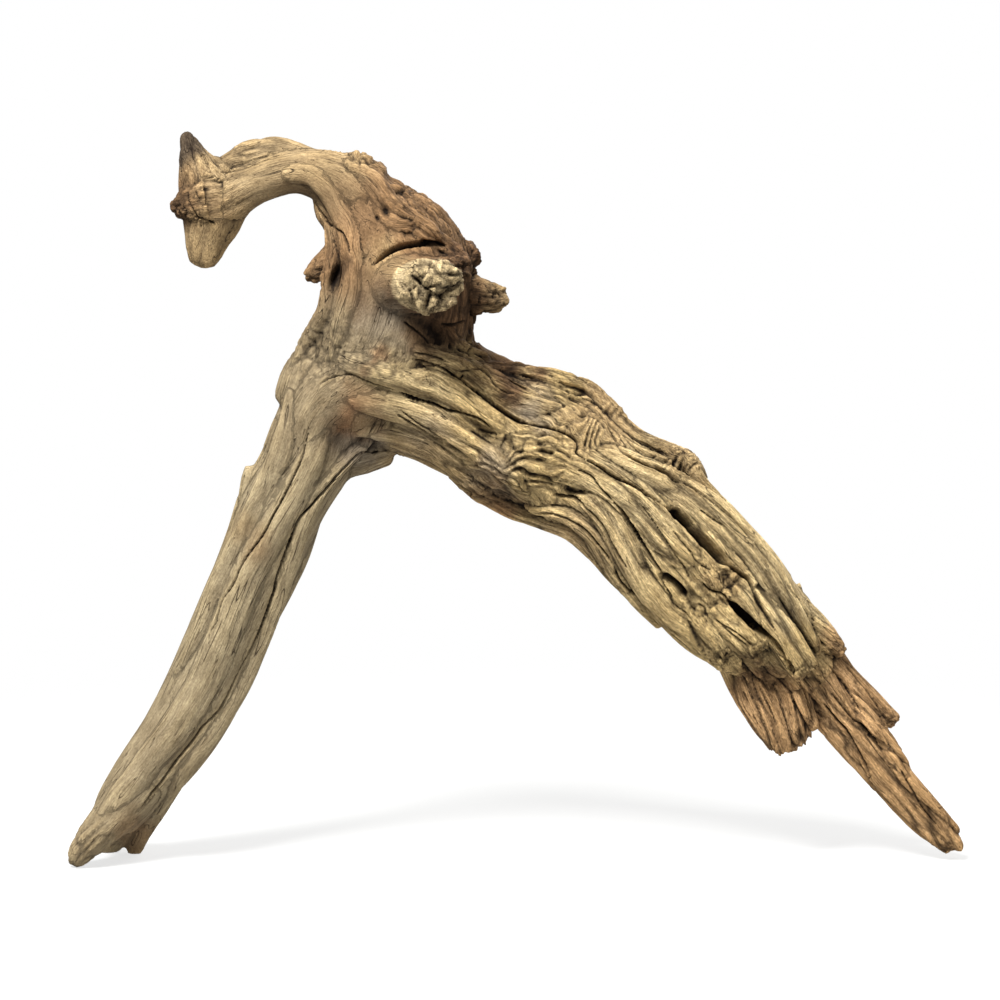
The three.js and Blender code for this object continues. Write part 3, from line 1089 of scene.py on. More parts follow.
class Surface:
    """The wood's vertices as arrays, with what the carving does to them."""

    def __init__(self, target: bpy.types.Object) -> None:
        """Reads an object's mesh, in mm.

        Args:
            target: The object.
        """
        self.target = target
        mesh = target.data
        count = len(mesh.vertices)
        flat = np.empty(count * 3, dtype=np.float32)
        mesh.vertices.foreach_get("co", flat)
        self.points = flat.reshape(-1, 3).astype(np.float64) / MM
        mesh.vertex_normals.foreach_get("vector", flat)
        self.normals = flat.reshape(-1, 3).astype(np.float64)
        self.shift = np.zeros_like(self.points)
        # painted shade, which the carving lays in its grooves, creases and hollows
        self.dark = np.zeros(count)

    def drawn(self) -> np.ndarray:
        """Carries each vertex onto the front elevation.

        Returns:
            Rows of drawn x and z, mm.
        """
        return ELEVATION.drawn(self.points)

    def facing(self) -> np.ndarray:
        """Measures how much each vertex faces the eye.

        Returns:
            Values from -1 to 1.
        """
        return -(self.normals * unit(self.points - ELEVATION.origin())).sum(1)

    def push(self, amount: np.ndarray, where: np.ndarray | None = None) -> None:
        """Moves vertices along their normals.

        Args:
            amount: Distance outwards, mm, one for each vertex moved.
            where: Indices of the moved vertices, or None for all.
        """
        if where is None:
            self.shift += self.normals * amount[:, None]
        else:
            self.shift[where] += self.normals[where] * amount[:, None]

    def paint_shade(self, where: np.ndarray, amount: np.ndarray) -> None:
        """Paints shade on vertices that do not have as much of it yet.

        Args:
            where: Indices of the vertices.
            amount: Their painted shade, 0 to 1.
        """
        self.dark[where] = np.maximum(self.dark[where], amount)

    def cavity(self, edges: np.ndarray, rounds: int) -> np.ndarray:
        """Measures how far each vertex lies under the average of the wood round it.

        Args:
            edges: Vertex pairs.
            rounds: Rounds of averaging; more rounds take in more wood.

        Returns:
            Depth under the average along the normal, mm; negative on ridges.
        """
        places = self.points + self.shift
        smooth = places.copy()
        first = np.concatenate([edges[:, 0], edges[:, 1]])
        second = np.concatenate([edges[:, 1], edges[:, 0]])
        count = np.maximum(np.bincount(first, minlength=len(places)), 1)
        for _ in range(rounds):
            sums = [np.bincount(first, column, len(places)) for column in smooth[second].T]
            smooth = np.column_stack([total / count for total in sums])
        return ((smooth - places) * self.normals).sum(1)

    def write(self) -> None:
        """Puts the carved places back on the mesh; no wood stays under the ground."""
        places = self.points + self.shift
        places[:, 2] = np.maximum(places[:, 2], 0.0)
        mesh = self.target.data
        mesh.vertices.foreach_set("co", (places * MM).astype(np.float32).ravel())
        mesh.update()


@dataclass
class Driftwood:
    """The whole piece: it is grown, laid with folds, fused, carved, thinned and coloured.

    Attributes:
        rough_voxel: Voxel that the limbs fuse at, mm.
        fine_voxel: Voxel that the carved body fuses at, mm.
        most_faces: Triangles of the finished piece.
        lumps_end: Row y that the lumps reach back to, mm.
        ripples_end: Row y that the ripples reach back to, mm.
        far_crack_rows: Places along a crack on the far side.
        seed: Seed of everything that is drawn at random.
        strands: The members and bands laid so far, which carry the grain.
        rough: The fused limbs.
        body: The finished wood.
        dark_points: Carved vertices before thinning, mm.
        groove: Depth of each of them in its groove, mm.
        dark: Painted shade of each of them, from cracks, creases and hollows, 0 to 1.
    """

    rough_voxel: float = 2.0
    fine_voxel: float = 0.72
    most_faces: int = 196000
    lumps_end: float = 25.0
    ripples_end: float = 15.0
    far_crack_rows: int = 9
    seed: int = 11
    strands: list[Strand] = field(default_factory=list)
    rough: bpy.types.Object | None = None
    body: bpy.types.Object | None = None
    dark_points: np.ndarray | None = None
    groove: np.ndarray | None = None
    dark: np.ndarray | None = None

    def grow(self) -> None:
        """Fuses the limbs into one smooth body."""
        core = [member.strand() for member in CORE.values()]
        self.rough = self.fuse("rough", core, None, self.rough_voxel, 10)
        self.strands = core

    def fuse(
        self, name: str, strands: list[Strand], base: bpy.types.Object | None, voxel: float, smooth: int
    ) -> bpy.types.Object:
        """Joins closed tubes, and a body they lie on, into one skin.

        Args:
            name: Name of the new object.
            strands: The members.
            base: A body to fuse them with.
            voxel: Voxel of the new skin, mm.
            smooth: Rounds of smoothing.

        Returns:
            The fused object.
        """
        whole = bmesh.new()
        if base is not None:
            whole.from_mesh(base.data)
        for strand in strands:
            tube = bmesh.new()
            strand.add_tube(tube, TUBE_SIDES)
            part = bpy.data.meshes.new("tube")
            tube.to_mesh(part)
            tube.free()
            whole.from_mesh(part)
            bpy.data.meshes.remove(part)
        fused = new_object(name, whole)
        settle(
            fused,
            ("REMESH", {"mode": "VOXEL", "voxel_size": voxel * MM}),
            ("SMOOTH", {"factor": 0.5, "iterations": smooth}),
        )
        return fused

    def lay(self) -> None:
        """Lays folds, shards and the far side's strands on the body and fuses them at full fineness."""
        laid = [fold.strand(self.rough) for fold in FOLDS]
        laid += [member.strand() for member in SHARDS.values()]
        laid += [strand for grain in BACK for strand in grain.strands()]
        self.body = self.fuse("driftwood_body", laid, self.rough, self.fine_voxel, 3)
        self.strands += laid
        bpy.data.objects.remove(self.rough)

    def grain(self, points: np.ndarray) -> np.ndarray:
        """Finds how each point lies in the grain of the strand that owns it.

        Args:
            points: Rows of x, y, z, mm.

        Returns:
            The grain place, mm.
        """
        best = np.full(len(points), np.inf)
        place = np.zeros((len(points), 3))
        for index, strand in enumerate(self.strands):
            margin = strand.radius.max() * max(1.0, strand.squash) + 10.0
            low = strand.centre.min(0) - margin
            high = strand.centre.max(0) + margin
            near = np.flatnonzero(((points > low) & (points < high)).all(1))
            if len(near) == 0:
                continue
            gap, local = strand.locate(points[near])
            wins = gap < best[near]
            taken = near[wins]
            best[taken] = gap[wins]
            place[taken] = local[wins] + np.array([index * 31.7, index * 17.3, index * 11.9])
        drawn = ELEVATION.drawn(points)
        for index, curl in enumerate(CURLS):
            share = curl.share(drawn)
            near = np.flatnonzero(share < SPENT)
            fade = curl.sway * bloom(share[near])
            for axis in (1, 2):
                swing = value_noise(points[near] / curl.step, self.seed + Seed.CURLS + 2 * index + axis)
                place[near, axis] += fade * swing
        for axis in (1, 2):
            place[:, axis] += 1.3 * value_noise(points / 16.0, self.seed + Seed.WAVER + axis)
        return place

    def carve(self) -> None:
        """Carves fibres, seams, hollows and cracks into the fused body, and paints shade in them."""
        surface = Surface(self.body)
        place = self.grain(surface.points)
        drawn = surface.drawn()
        self.knots(surface, place, drawn)
        self.chips(surface)
        self.ripples(surface, drawn)
        self.tear(surface, place, drawn)
        self.fibres(surface, place, drawn)
        self.hollows(surface)
        self.cracks(surface)
        surface.write()
        self.dark_points = surface.points + surface.shift
        self.groove = surface.cavity(self.edges(), 4)
        self.dark = surface.dark

    def edges(self) -> np.ndarray:
        """Reads the body's edges.

        Returns:
            Vertex pairs.
        """
        pairs = np.empty(len(self.body.data.edges) * 2, dtype=np.int64)
        self.body.data.edges.foreach_get("vertices", pairs)
        return pairs.reshape(-1, 2)

    def knots(self, surface: Surface, place: np.ndarray, drawn: np.ndarray) -> None:
        """Raises rounded lumps with sharp creases between them where the wood is gnarled or torn; the creases
        get painted shade.

        Args:
            surface: The wood.
            place: Each vertex's place in the grain, mm.
            drawn: Each vertex's drawn x and z, mm.
        """
        for index, rough in enumerate(ROUGH):
            share = rough.share(drawn)
            near = np.flatnonzero((share < SPENT) & (surface.points[:, 1] < self.lumps_end))
            size = np.array([rough.size * rough.stretch, rough.size, rough.size])
            spot = (surface.points[near] if rough.stretch <= 1.0 else place[near]) / size
            broad = np.abs(value_noise(spot, self.seed + Seed.LUMPS + index)) ** 0.6
            small = np.abs(value_noise(spot * 2.3, self.seed + Seed.SMALL_LUMPS + index)) ** 0.6
            fade = bloom(share[near])
            surface.push(rough.height * (1.3 * broad + 0.6 * small - 0.9) * fade, near)
            # painted shade in the creases between lumps
            crease = np.clip(1.0 - np.minimum(broad / 0.42, small / 0.2), 0.0, 1.0)
            surface.paint_shade(near, 0.85 * crease * fade)

    def chips(self, surface: Surface) -> None:
        """Breaks the near side into flat chips where the wood snapped, with painted shade in the seams and on
        sunken chips.

        Args:
            surface: The wood.
        """
        facing = surface.facing()
        for number, broken in enumerate(BROKEN):
            dice = np.random.default_rng(self.seed + Seed.CHIPS + number)
            middle = cast(self.body, broken.x, broken.z)
            share = ((surface.points - middle) ** 2).sum(1) / broken.reach**2
            near = np.flatnonzero((share < 3.0) & (facing > -0.3))
            part = surface.points[near]
            spread = 1.8 * broken.reach
            count = int((2.0 * spread / broken.size) ** 3)
            seeds = middle + dice.uniform(-spread, spread, (count, 3))
            tilts = dice.normal(0.0, 0.7, (count, 3))
            rises = dice.uniform(-1.0, 1.0, count)
            tree = tree_of(seeds)
            found = [tree.find_n(point, 2) for point in part]
            own = np.array([pair[0][1] for pair in found])
            seam = np.array([pair[1][2] - pair[0][2] for pair in found])
            crease = np.clip(1.0 - seam / 0.9, 0.0, 1.0)
            lean = ((part - seeds[own]) * tilts[own]).sum(1) / broken.size
            level = rises[own] + np.clip(lean, -1.0, 1.0)
            fade = bloom(share[near])
            surface.push(broken.height * (level - 0.45 * crease) * fade, near)
            # painted shade in the seams between chips and on the chips that sink in
            shade = np.maximum(0.85 * crease, 0.8 * smoothstep(-0.35, -0.95, rises[own]))
            surface.paint_shade(near, shade * fade)

    def ripples(self, surface: Surface, drawn: np.ndarray) -> None:
        """Raises the bowed ripples at the burls, on the near side, with painted shade in their troughs.

        Args:
            surface: The wood.
            drawn: Each vertex's drawn x and z, mm.
        """
        for index, ripple in enumerate(RIPPLES):
            share = ripple.share(drawn)
            near = np.flatnonzero((share < SPENT) & (surface.points[:, 1] < self.ripples_end))
            wide, tall = turned(ripple.gap(drawn[near]), ripple.tilt)
            wander = 0.9 * value_noise(surface.points[near] / 8.0, self.seed + Seed.RIPPLE_WANDER + index)
            wave = np.sin(2.0 * math.pi * ((tall + ripple.bow * wide**2) / ripple.step + wander))
            breaks = value_noise(surface.points[near] / 6.0, self.seed + Seed.RIPPLE_BREAKS + index)
            fade = bloom(share[near]) * (0.35 + 0.65 * smoothstep(-0.5, 0.4, breaks))
            surface.push(ripple.height * wave * fade, near)
            # painted shade in the ripples' troughs
            surface.paint_shade(near, 0.6 * smoothstep(-0.7, -1.0, wave) * fade)

    def tear(self, surface: Surface, place: np.ndarray, drawn: np.ndarray) -> None:
        """Draws the fibres of broken ends out to different lengths.

        Args:
            surface: The wood.
            place: Each vertex's place in the grain, mm.
            drawn: Each vertex's drawn x and z, mm.
        """
        for index, torn in enumerate(TORN):
            share = torn.share(drawn)
            near = np.flatnonzero(share < SPENT)
            bundle = value_noise(place[near] / np.array([60.0, 5.5, 5.5]), self.seed + Seed.BUNDLES + index)
            single = value_noise(place[near] / np.array([60.0, 1.8, 1.8]), self.seed + Seed.SINGLES + index)
            length = torn.length * (0.9 * bundle + 0.35 * single) * bloom(share[near])
            angle = math.radians(torn.heading)
            surface.shift[near, 0] += length * math.cos(angle)
            surface.shift[near, 2] += length * math.sin(angle)

    def fibres(self, surface: Surface, place: np.ndarray, drawn: np.ndarray) -> None:
        """Raises rounded strands with sharp furrows and painted shade between them, bolder on the limb than
        on leg and stump.

        Args:
            surface: The wood.
            place: Each vertex's place in the grain, mm.
            drawn: Each vertex's drawn x and z, mm.
        """
        relief = self.relief(drawn)
        for length, width, depth in ((95.0, 8.0, 2.1), (60.0, 4.0, 1.0), (30.0, 2.0, 0.45)):
            scale = np.array([1.0 / length, 1.0 / width, 1.0 / width])
            level = np.abs(value_noise(place * scale, self.seed + int(width)))
            surface.push(relief * depth * (np.minimum(1.0, level / 0.5) ** 0.55 - 0.75))
            if width > 3.0:
                # painted shade in the furrows between the wider strands
                furrow = np.clip(1.0 - level / 0.085, 0.0, 1.0)
                surface.dark = np.maximum(surface.dark, 0.85 * furrow * relief)

    def relief(self, drawn: np.ndarray) -> np.ndarray:
        """Tells how boldly the fibres stand out: little on the leg and where the wood is worn smooth.

        Args:
            drawn: Rows of drawn x and z, mm.

        Returns:
            Values up to 1, on the limb.
        """
        relief = 0.26 + 0.74 * smoothstep(-75.0, -20.0, drawn[:, 0])
        relief = np.maximum(relief, 0.7 * smoothstep(268.0, 300.0, drawn[:, 1]))
        for smooth in SMOOTH:
            relief = relief * (1.0 - 0.6 * bloom(smooth.share(drawn)))
        return relief

    def hollows(self, surface: Surface) -> None:
        """Presses the hollows in along the line of sight and paints shade on their floors.

        Args:
            surface: The wood.
        """
        drawn = surface.drawn()
        facing = surface.facing()
        for hollow in HOLLOWS:
            along, wide = turned(drawn - np.array([hollow.x, hollow.z]), hollow.tilt)
            share = (along / hollow.long) ** 2 + (wide / hollow.wide) ** 2
            near = np.flatnonzero((share < 2.5) & (facing > 0.0))
            dip = np.exp(-1.8 * share[near])
            sight = unit(surface.points[near] - ELEVATION.origin())
            surface.shift[near] += sight * (dip * hollow.depth)[:, None]
            # painted shade on the hollow's floor, deepest where it dips most
            surface.paint_shade(near, dip * hollow.dark)

    def cracks(self, surface: Surface) -> None:
        """Cuts every crack as a groove with a sharp floor and painted shade in it.

        Args:
            surface: The wood.
        """
        for crack in CRACKS:
            rows = [[*cast(self.body, x, z), 0.0] for x, z in crack.path]
            self.cut(surface, np.array(rows), crack.width, crack.depth)
        for rows, width in self.far_cracks():
            self.cut(surface, rows, width, width * 2.2)

    def far_cracks(self) -> list[tuple[np.ndarray, float]]:
        """Draws drying cracks along the far side's grain.

        Returns:
            Each crack's places and width, mm.
        """
        dice = np.random.default_rng(self.seed)
        made = []
        for name, count in (("stump", 7), ("left_leg", 6), ("right_limb", 11), ("hook", 3)):
            line = CORE[name].strand()
            for _ in range(count):
                start = dice.uniform(0.02, 0.6)
                stop = min(0.98, start + dice.uniform(0.2, 0.45))
                angle = dice.uniform(-0.1, 1.1) * math.pi
                drift = dice.uniform(-0.5, 0.5)
                share = np.linspace(start, stop, self.far_crack_rows)
                picks = (share * (len(line.centre) - 1)).astype(int)
                turn = angle + drift * (share - start) + 0.015 * dice.standard_normal(self.far_crack_rows)
                turn = turn[:, None]
                out = line.side[picks] * np.cos(turn) + line.deep[picks] * np.sin(turn)
                places = line.centre[picks] + out * line.radius[picks, None] * 1.1
                rows = []
                for place in places:
                    _, near, _, _ = self.body.closest_point_on_mesh(Vector(place * MM))
                    rows.append([*(np.array(near) / MM), 0.0])
                made.append((np.array(rows), dice.uniform(0.9, 2.0)))
        return made

    def cut(self, surface: Surface, rows: np.ndarray, width: float, depth: float) -> None:
        """Cuts one groove that thins towards both ends and paints shade in it.

        Args:
            surface: The wood.
            rows: Places on the surface, mm.
            width: Width of the mouth at the middle, mm.
            depth: Depth at the middle, mm.
        """
        line = smooth_path(rows, 0.6)[:, :3]
        share = np.linspace(0.0, 1.0, len(line))
        thin = np.clip(np.minimum(share, 1.0 - share) * 7.0, 0.12, 1.0) ** 0.6
        half = np.maximum(width * 0.5, self.fine_voxel * 0.75)
        reach = half * 2.0
        near = np.flatnonzero(
            ((surface.points > line.min(0) - reach) & (surface.points < line.max(0) + reach)).all(1)
        )
        if len(near) == 0:
            return
        part = surface.points[near]
        index, gap = nearest_on(line, part)
        local_half = half * thin[index]
        profile = np.clip(1.0 - (gap / local_half) ** 2, 0.0, 1.0)
        surface.push(-profile * depth * thin[index], near)
        # painted shade in the groove, darkest at its middle
        shade = np.clip(1.25 - gap / local_half, 0.0, 1.0)
        surface.paint_shade(near, shade * thin[index])

    def thin(self) -> None:
        """Thins flat stretches until the piece has the triangles it may have."""
        mesh = self.body.data
        mesh.calc_loop_triangles()
        ratio = min(1.0, self.most_faces / len(mesh.loop_triangles))
        settle(self.body, ("TRIANGULATE", {}), ("DECIMATE", {"ratio": ratio}))
        for polygon in self.body.data.polygons:
            polygon.use_smooth = True

    def colour(self) -> None:
        """Gives each vertex its grain place, its weathered colour and its painted shade."""
        surface = Surface(self.body)
        place = self.grain(surface.points)
        tree = tree_of(self.dark_points)
        nearest = np.array([[found[1] for found in tree.find_n(point, 3)] for point in surface.points])
        groove = self.groove[nearest].mean(1)
        valley = surface.cavity(self.edges(), 10)
        bowl = surface.cavity(self.edges(), 80)
        # painted shade: darker in fine grooves, in valleys and in broad bowls of the carved wood
        cavity_shade = 0.6 * smoothstep(0.04, 0.4, groove)
        cavity_shade = cavity_shade + 0.45 * smoothstep(0.1, 1.2, valley) + 0.3 * smoothstep(0.5, 4.0, bowl)
        dark = np.clip(np.maximum(self.dark[nearest].mean(1), cavity_shade), 0.0, 1.0)
        bleach = smoothstep(0.02, 0.25, -groove) * 0.6 + smoothstep(0.1, 0.9, -valley) * 0.5
        bleach = np.clip(bleach, 0.0, 1.0)
        self.attribute("bleach", "FLOAT", "value", bleach)
        self.attribute("worn", "FLOAT", "value", 1.0 - smoothstep(0.2, 0.8, self.relief(surface.drawn())))
        self.attribute("grain", "FLOAT_VECTOR", "vector", place)
        self.attribute("dark", "FLOAT", "value", dark)
        self.attribute("tint", "FLOAT_COLOR", "color", self.tints(surface))

    def tints(self, surface: Surface) -> np.ndarray:
        """Blends the weathered colours, and the painted shadow round the knob, over the wood.

        Args:
            surface: The wood.

        Returns:
            Linear RGBA for each vertex.
        """
        drawn = surface.drawn()
        for axis in (0, 1):
            drawn[:, axis] += 7.0 * value_noise(surface.points / 13.0, self.seed + Seed.TINTS + axis)
            drawn[:, axis] += 3.0 * value_noise(surface.points / 4.0, self.seed + Seed.FINE_TINTS + axis)
        total = np.zeros((len(drawn), 4))
        weights = np.full(len(drawn), 1e-6)
        for patch in PATCHES:
            gap = np.linalg.norm(patch.gap(drawn), axis=1)
            ahead = smoothstep(0.0, 5.0, patch.front - surface.points[:, 1])
            weight = patch.weight * np.exp(-((gap / patch.reach) ** 2)) * ahead
            total += weight[:, None] * np.array(linear(patch.tone.value))
            weights += weight
        return (total + 1e-6 * np.array(linear(Tone.DUN.value))) / weights[:, None]

    def attribute(self, name: str, kind: str, field_name: str, values: np.ndarray) -> None:
        """Writes one value per vertex.

        Args:
            name: The attribute.
            kind: Its type.
            field_name: The name of its field.
            values: One row per vertex.
        """
        made = self.body.data.attributes.new(name, kind, "POINT")
        made.data.foreach_set(field_name, values.astype(np.float32).ravel())


# ---------------------------------------------------------------------------------------------------------
# Finish


def add(
    tree: Tree, kind: str, links: dict[object, object] | None = None, **settings: object
) -> bpy.types.Node:
    """Adds a node with its settings and links.

    Args:
        tree: The node tree.
        kind: The node's type.
        links: Input name or index to a value or to another node's output.
        settings: Properties of the node.

    Returns:
        The node.
    """
    node = tree.nodes.new(kind)
    for key, value in settings.items():
        setattr(node, key, value)
    for key, value in (links or {}).items():
        socket = node.inputs[key]
        if isinstance(value, bpy.types.NodeSocket):
            tree.links.new(value, socket)
        else:
            socket.default_value = value
    return node


def maths(tree: Tree, operation: str, *values: object) -> Socket:
    """Adds a sum.

    Args:
        tree: The node tree.
        operation: What it works out.
        values: Numbers or other nodes' outputs.

    Returns:
        The result.
    """
    return add(tree, "ShaderNodeMath", dict(enumerate(values)), operation=operation).outputs[0]


def ramp(tree: Tree, value: Socket, stops: list[tuple[float, float]]) -> Socket:
    """Maps a value through grey stops.

    Args:
        tree: The node tree.
        value: The value.
        stops: Positions and grey levels.

    Returns:
        The mapped value.
    """
    node = add(tree, "ShaderNodeValToRGB", {"Fac": value})
    elements = node.color_ramp.elements
    while len(elements) < len(stops):
        elements.new(0.5)
    for element, (position, level) in zip(elements, stops):
        element.position = position
        element.color = (level, level, level, 1.0)
    return node.outputs["Color"]


@dataclass(frozen=True)
class WeatheredWood:
    """Bleached, sandblasted juniper-like root wood: dry and matt, its soft grain worn away between fibres.

    Attributes:
        fibre: Width of one fibre, mm.
        band: Width of a band of fibres of one colour, mm.
        grit: Width of the specks where fibres have frayed, mm; coarser than life, so that they show.
        carried: The mesh's own attributes that the material reads, with the outputs that it takes.
    """

    fibre: float = 0.5
    band: float = 2.4
    grit: float = 0.8
    carried: tuple[tuple[str, str], ...] = (
        ("grain", "Vector"), ("tint", "Color"), ("dark", "Fac"), ("bleach", "Fac"), ("worn", "Fac"),
    )

    def build(self) -> bpy.types.Material:
        """Makes the material.

        Returns:
            The material.
        """
        made = bpy.data.materials.new("weathered_root_wood")
        made.use_nodes = True
        tree = made.node_tree
        tree.nodes.clear()
        grain, tint, dark, bleach, worn = (
            add(tree, "ShaderNodeAttribute", attribute_name=name).outputs[output]
            for name, output in self.carried
        )
        bands = self.stretched(tree, grain, self.band, 16.0, 2.0)
        fibres = self.stretched(tree, grain, self.fibre, 16.0, 3.0)
        wide = self.fissures(tree, grain, self.band * 2.2, 26.0, 0.012, 0.47)
        thin = self.fissures(tree, grain, self.band, 22.0, 0.016, 0.5)
        grit = self.stretched(tree, grain, self.grit, 1.8, 3.0)
        mottle = self.stretched(tree, grain, self.band * 2.6, 1.8, 3.0)
        colour = tint
        for pattern, span, most, low, high in (
            (bands, 0.18, 0.55, (0.70, 0.67, 0.63), (1.20, 1.19, 1.16)),
            (fibres, 0.2, 0.6, (0.54, 0.50, 0.45), (1.38, 1.39, 1.38)),
            (grit, 0.2, 0.35, (0.60, 0.57, 0.53), (1.34, 1.34, 1.32)),
            (mottle, 0.14, 0.0, (0.87, 0.85, 0.83), (1.21, 1.21, 1.22)),
        ):
            level = ramp(tree, pattern, [(0.5 - span, 0.0), (0.5 + span, 1.0)])
            colour = self.shade(tree, colour, self.calm(tree, level, worn, most), low, high)
        colour = self.shade(tree, colour, bleach, (1.0, 1.0, 1.0), (1.42, 1.41, 1.35))
        # painted shade: fine drying cracks drawn dark brown and near black, then the carving's painted shade
        # from the dark attribute
        colour = self.over(tree, colour, thin, 0.75, "4A3826")
        colour = self.over(tree, colour, wide, 0.95, "2C1E14")
        colour = self.over(tree, colour, dark, 1.0, "20160E")
        height = maths(tree, "MULTIPLY_ADD", grit, 0.8, fibres)
        height = maths(tree, "SUBTRACT", height, wide)
        height = maths(tree, "SUBTRACT", height, thin)
        bump = add(tree, "ShaderNodeBump", {"Height": height, "Strength": 0.9, "Distance": 0.0007}).outputs[0]
        settings = {"Base Color": colour, "Normal": bump, "Roughness": 0.85, "Specular IOR Level": 0.2}
        shader = add(tree, "ShaderNodeBsdfPrincipled", settings)
        add(tree, "ShaderNodeOutputMaterial", {"Surface": shader.outputs[0]})
        return made

    def calm(self, tree: Tree, value: Socket, worn: Socket, most: float) -> Socket:
        """Draws a pattern's value towards its middle where the wood is worn smooth.

        Args:
            tree: The node tree.
            value: The pattern, 0 to 1.
            worn: 1 where the wood is worn smooth.
            most: The most that it is drawn in.

        Returns:
            The calmer pattern.
        """
        share = maths(tree, "MULTIPLY", worn, most)
        return add(tree, "ShaderNodeMix", {0: share, 2: value, 3: 0.5}).outputs[0]

    def fissures(
        self, tree: Tree, grain: Socket, width: float, stretch: float, line: float, cover: float
    ) -> Socket:
        """Draws fine drying cracks that run with the grain and come and go.

        Args:
            tree: The node tree.
            grain: The grain place, mm.
            width: Distance between cracks, mm.
            stretch: Length of a crack over that distance.
            line: Half width of a crack, as a share of the noise's height.
            cover: Noise level over which there are cracks.

        Returns:
            1 in a crack, 0 beside it.
        """
        level = self.stretched(tree, grain, width, stretch, 1.0)
        level = maths(tree, "ABSOLUTE", maths(tree, "SUBTRACT", level, 0.5))
        crack = ramp(tree, level, [(0.0, 1.0), (line, 0.0)])
        some = self.stretched(tree, grain, width * 1.7, 7.0, 1.0)
        some = ramp(tree, some, [(cover, 0.0), (cover + 0.08, 1.0)])
        return maths(tree, "MULTIPLY", crack, some)

    def over(self, tree: Tree, colour: Socket, share: Socket, most: float, ink: str) -> Socket:
        """Lays a dark colour over another; here it is always painted shade.

        Args:
            tree: The node tree.
            colour: The colour underneath.
            share: How much of the dark colour shows, 0 to 1.
            most: The most that shows.
            ink: The dark colour, sRGB hex.

        Returns:
            The mixed colour.
        """
        share = maths(tree, "MULTIPLY", share, most)
        links = {0: share, 6: colour, 7: linear(ink)}
        return add(tree, "ShaderNodeMix", links, data_type="RGBA").outputs[2]

    def shade(self, tree: Tree, colour: Socket, share: Socket, low: RGB, high: RGB) -> Socket:
        """Multiplies a colour by a tone between two tones.

        Args:
            tree: The node tree.
            colour: The colour.
            share: 0 for the first tone, 1 for the second.
            low: The first tone.
            high: The second tone.

        Returns:
            The shaded colour.
        """
        links = {0: share, 6: (*low, 1.0), 7: (*high, 1.0)}
        tone = add(tree, "ShaderNodeMix", links, data_type="RGBA").outputs[2]
        links = {0: 1.0, 6: colour, 7: tone}
        return add(tree, "ShaderNodeMix", links, data_type="RGBA", blend_type="MULTIPLY").outputs[2]

    def stretched(self, tree: Tree, grain: Socket, width: float, stretch: float, detail: float) -> Socket:
        """Draws noise out along the grain.

        Args:
            tree: The node tree.
            grain: The grain place, mm.
            width: Width of one streak, mm.
            stretch: Length of a streak over its width.
            detail: Octaves.

        Returns:
            The noise, 0 to 1.
        """
        scale = (1.0 / (width * stretch), 1.0 / width, 1.0 / width)
        place = add(tree, "ShaderNodeVectorMath", {0: grain, 1: scale}, operation="MULTIPLY").outputs[0]
        links = {"Vector": place, "Scale": 1.0, "Detail": detail, "Roughness": 0.6}
        return add(tree, "ShaderNodeTexNoise", links).outputs["Fac"]


# ---------------------------------------------------------------------------------------------------------
# Studio


@dataclass(frozen=True)
class Lamp:
    """An area light that points at the middle of the piece.

    Attributes:
        name: Its name.
        place: Its place, m.
        size: Its side, m.
        power: Its power, W.
    """

    name: str
    place: tuple[float, float, float]
    size: float
    power: float


LAMPS = [
    Lamp("key", (-0.55, -0.85, 1.7), 0.55, 60.0),
    Lamp("fill", (1.5, -1.4, 0.8), 1.2, 7.0),
    Lamp("back", (0.7, 1.5, 1.1), 1.0, 22.0),
]


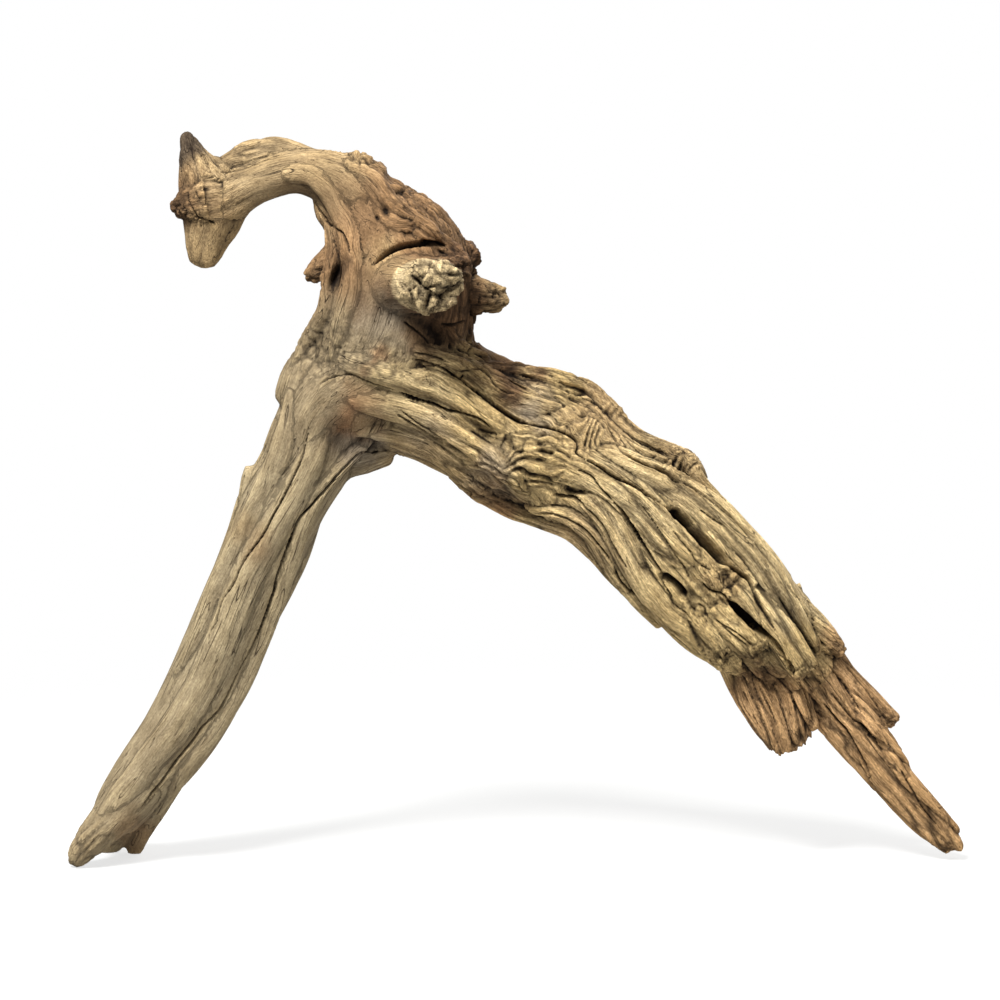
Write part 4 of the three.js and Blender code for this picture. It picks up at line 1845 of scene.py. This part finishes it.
@dataclass(frozen=True)
class Studio:
    """A pale floor, soft light from above and a long lens at eye height.

    Attributes:
        lens: Focal length, mm.
        sensor: Width of the sensor, mm.
        floor: Half the floor's side, m.
        clear_from: Distance from the middle where the floor starts to clear, m.
        clear_at: Distance where it is clear, m.
        middle: Height that the lamps point at, m.
        sky: Strength of the light from the room.
    """

    lens: float = 135.0
    sensor: float = 36.0
    floor: float = 6.0
    clear_from: float = 0.2
    clear_at: float = 0.6
    middle: float = 0.18
    sky: float = 0.32

    def build(self) -> None:
        """Makes the floor, the lights, the sky and the camera."""
        self.lay_floor()
        self.light()
        self.camera()

    def lay_floor(self) -> None:
        """Lays a pale matt floor."""
        bm = bmesh.new()
        bmesh.ops.create_grid(bm, x_segments=1, y_segments=1, size=self.floor)
        ground = new_object("floor", bm)
        made = bpy.data.materials.new("pale_floor")
        made.use_nodes = True
        tree = made.node_tree
        shader = tree.nodes["Principled BSDF"]
        shader.inputs["Base Color"].default_value = linear("F4F4F2")
        shader.inputs["Roughness"].default_value = 0.9
        shader.inputs["Specular IOR Level"].default_value = 0.0
        place = add(tree, "ShaderNodeTexCoord").outputs["Object"]
        away = add(tree, "ShaderNodeVectorMath", {0: place}, operation="LENGTH").outputs["Value"]
        span = {0: away, 1: self.clear_from, 2: self.clear_at, 3: 0.7, 4: 1.0}
        fade = add(tree, "ShaderNodeMapRange", span, interpolation_type="SMOOTHSTEP")
        clear = add(tree, "ShaderNodeBsdfTransparent").outputs[0]
        links = {0: fade.outputs[0], 1: shader.outputs[0], 2: clear}
        mixed = add(tree, "ShaderNodeMixShader", links).outputs[0]
        tree.links.new(mixed, tree.nodes["Material Output"].inputs["Surface"])
        ground.data.materials.append(made)

    def light(self) -> None:
        """Hangs a key above the front and weaker lights at the side and behind, in a white room."""
        for lamp in LAMPS:
            light = bpy.data.lights.new(lamp.name, "AREA")
            light.size = lamp.size
            light.energy = lamp.power
            made = bpy.data.objects.new(lamp.name, light)
            made.location = lamp.place
            aim = Vector((0.0, 0.0, self.middle)) - Vector(lamp.place)
            made.rotation_euler = aim.to_track_quat("-Z", "Y").to_euler()
            bpy.context.scene.collection.objects.link(made)
        world = bpy.data.worlds.new("white_room")
        world.use_nodes = True
        tree = world.node_tree
        room = tree.nodes["Background"]
        room.inputs["Color"].default_value = (1.0, 1.0, 1.0, 1.0)
        room.inputs["Strength"].default_value = self.sky
        wall = add(tree, "ShaderNodeBackground", {"Color": (1.0, 1.0, 1.0, 1.0), "Strength": 1.0}).outputs[0]
        seen = add(tree, "ShaderNodeLightPath").outputs["Is Camera Ray"]
        mixed = add(tree, "ShaderNodeMixShader", {0: seen, 1: room.outputs[0], 2: wall}).outputs[0]
        tree.links.new(mixed, tree.nodes["World Output"].inputs["Surface"])
        bpy.context.scene.world = world
        bpy.context.scene.view_settings.view_transform = "Standard"

    def camera(self) -> None:
        """Stands the camera at the elevation's eye, looking at the middle of the drawing."""
        optics = bpy.data.cameras.new("camera")
        optics.lens = self.lens
        optics.sensor_width = self.sensor
        made = bpy.data.objects.new("camera", optics)
        eye = Vector(ELEVATION.origin() * MM)
        aim = Vector(ELEVATION.place(*ELEVATION.aim, 0.0) * MM) - eye
        made.location = eye
        made.rotation_euler = aim.to_track_quat("-Z", "Y").to_euler()
        bpy.context.scene.collection.objects.link(made)
        bpy.context.scene.camera = made


def main() -> None:
    """Builds the driftwood and the studio and reports each piece."""
    logging.basicConfig(level=logging.INFO, format="%(name)s: %(message)s")
    wood = Driftwood()
    for step in (wood.grow, wood.lay, wood.carve, wood.thin, wood.colour):
        step()
        LOG.info("%s done", step.__name__)
    piece = wood.body
    piece.data.materials.append(WeatheredWood().build())
    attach(piece, "root")
    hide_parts("driftwood")
    LOG.info("%s: %d faces", piece.name, len(piece.data.polygons))
    Studio().build()


if __name__ == "__main__":
    main()
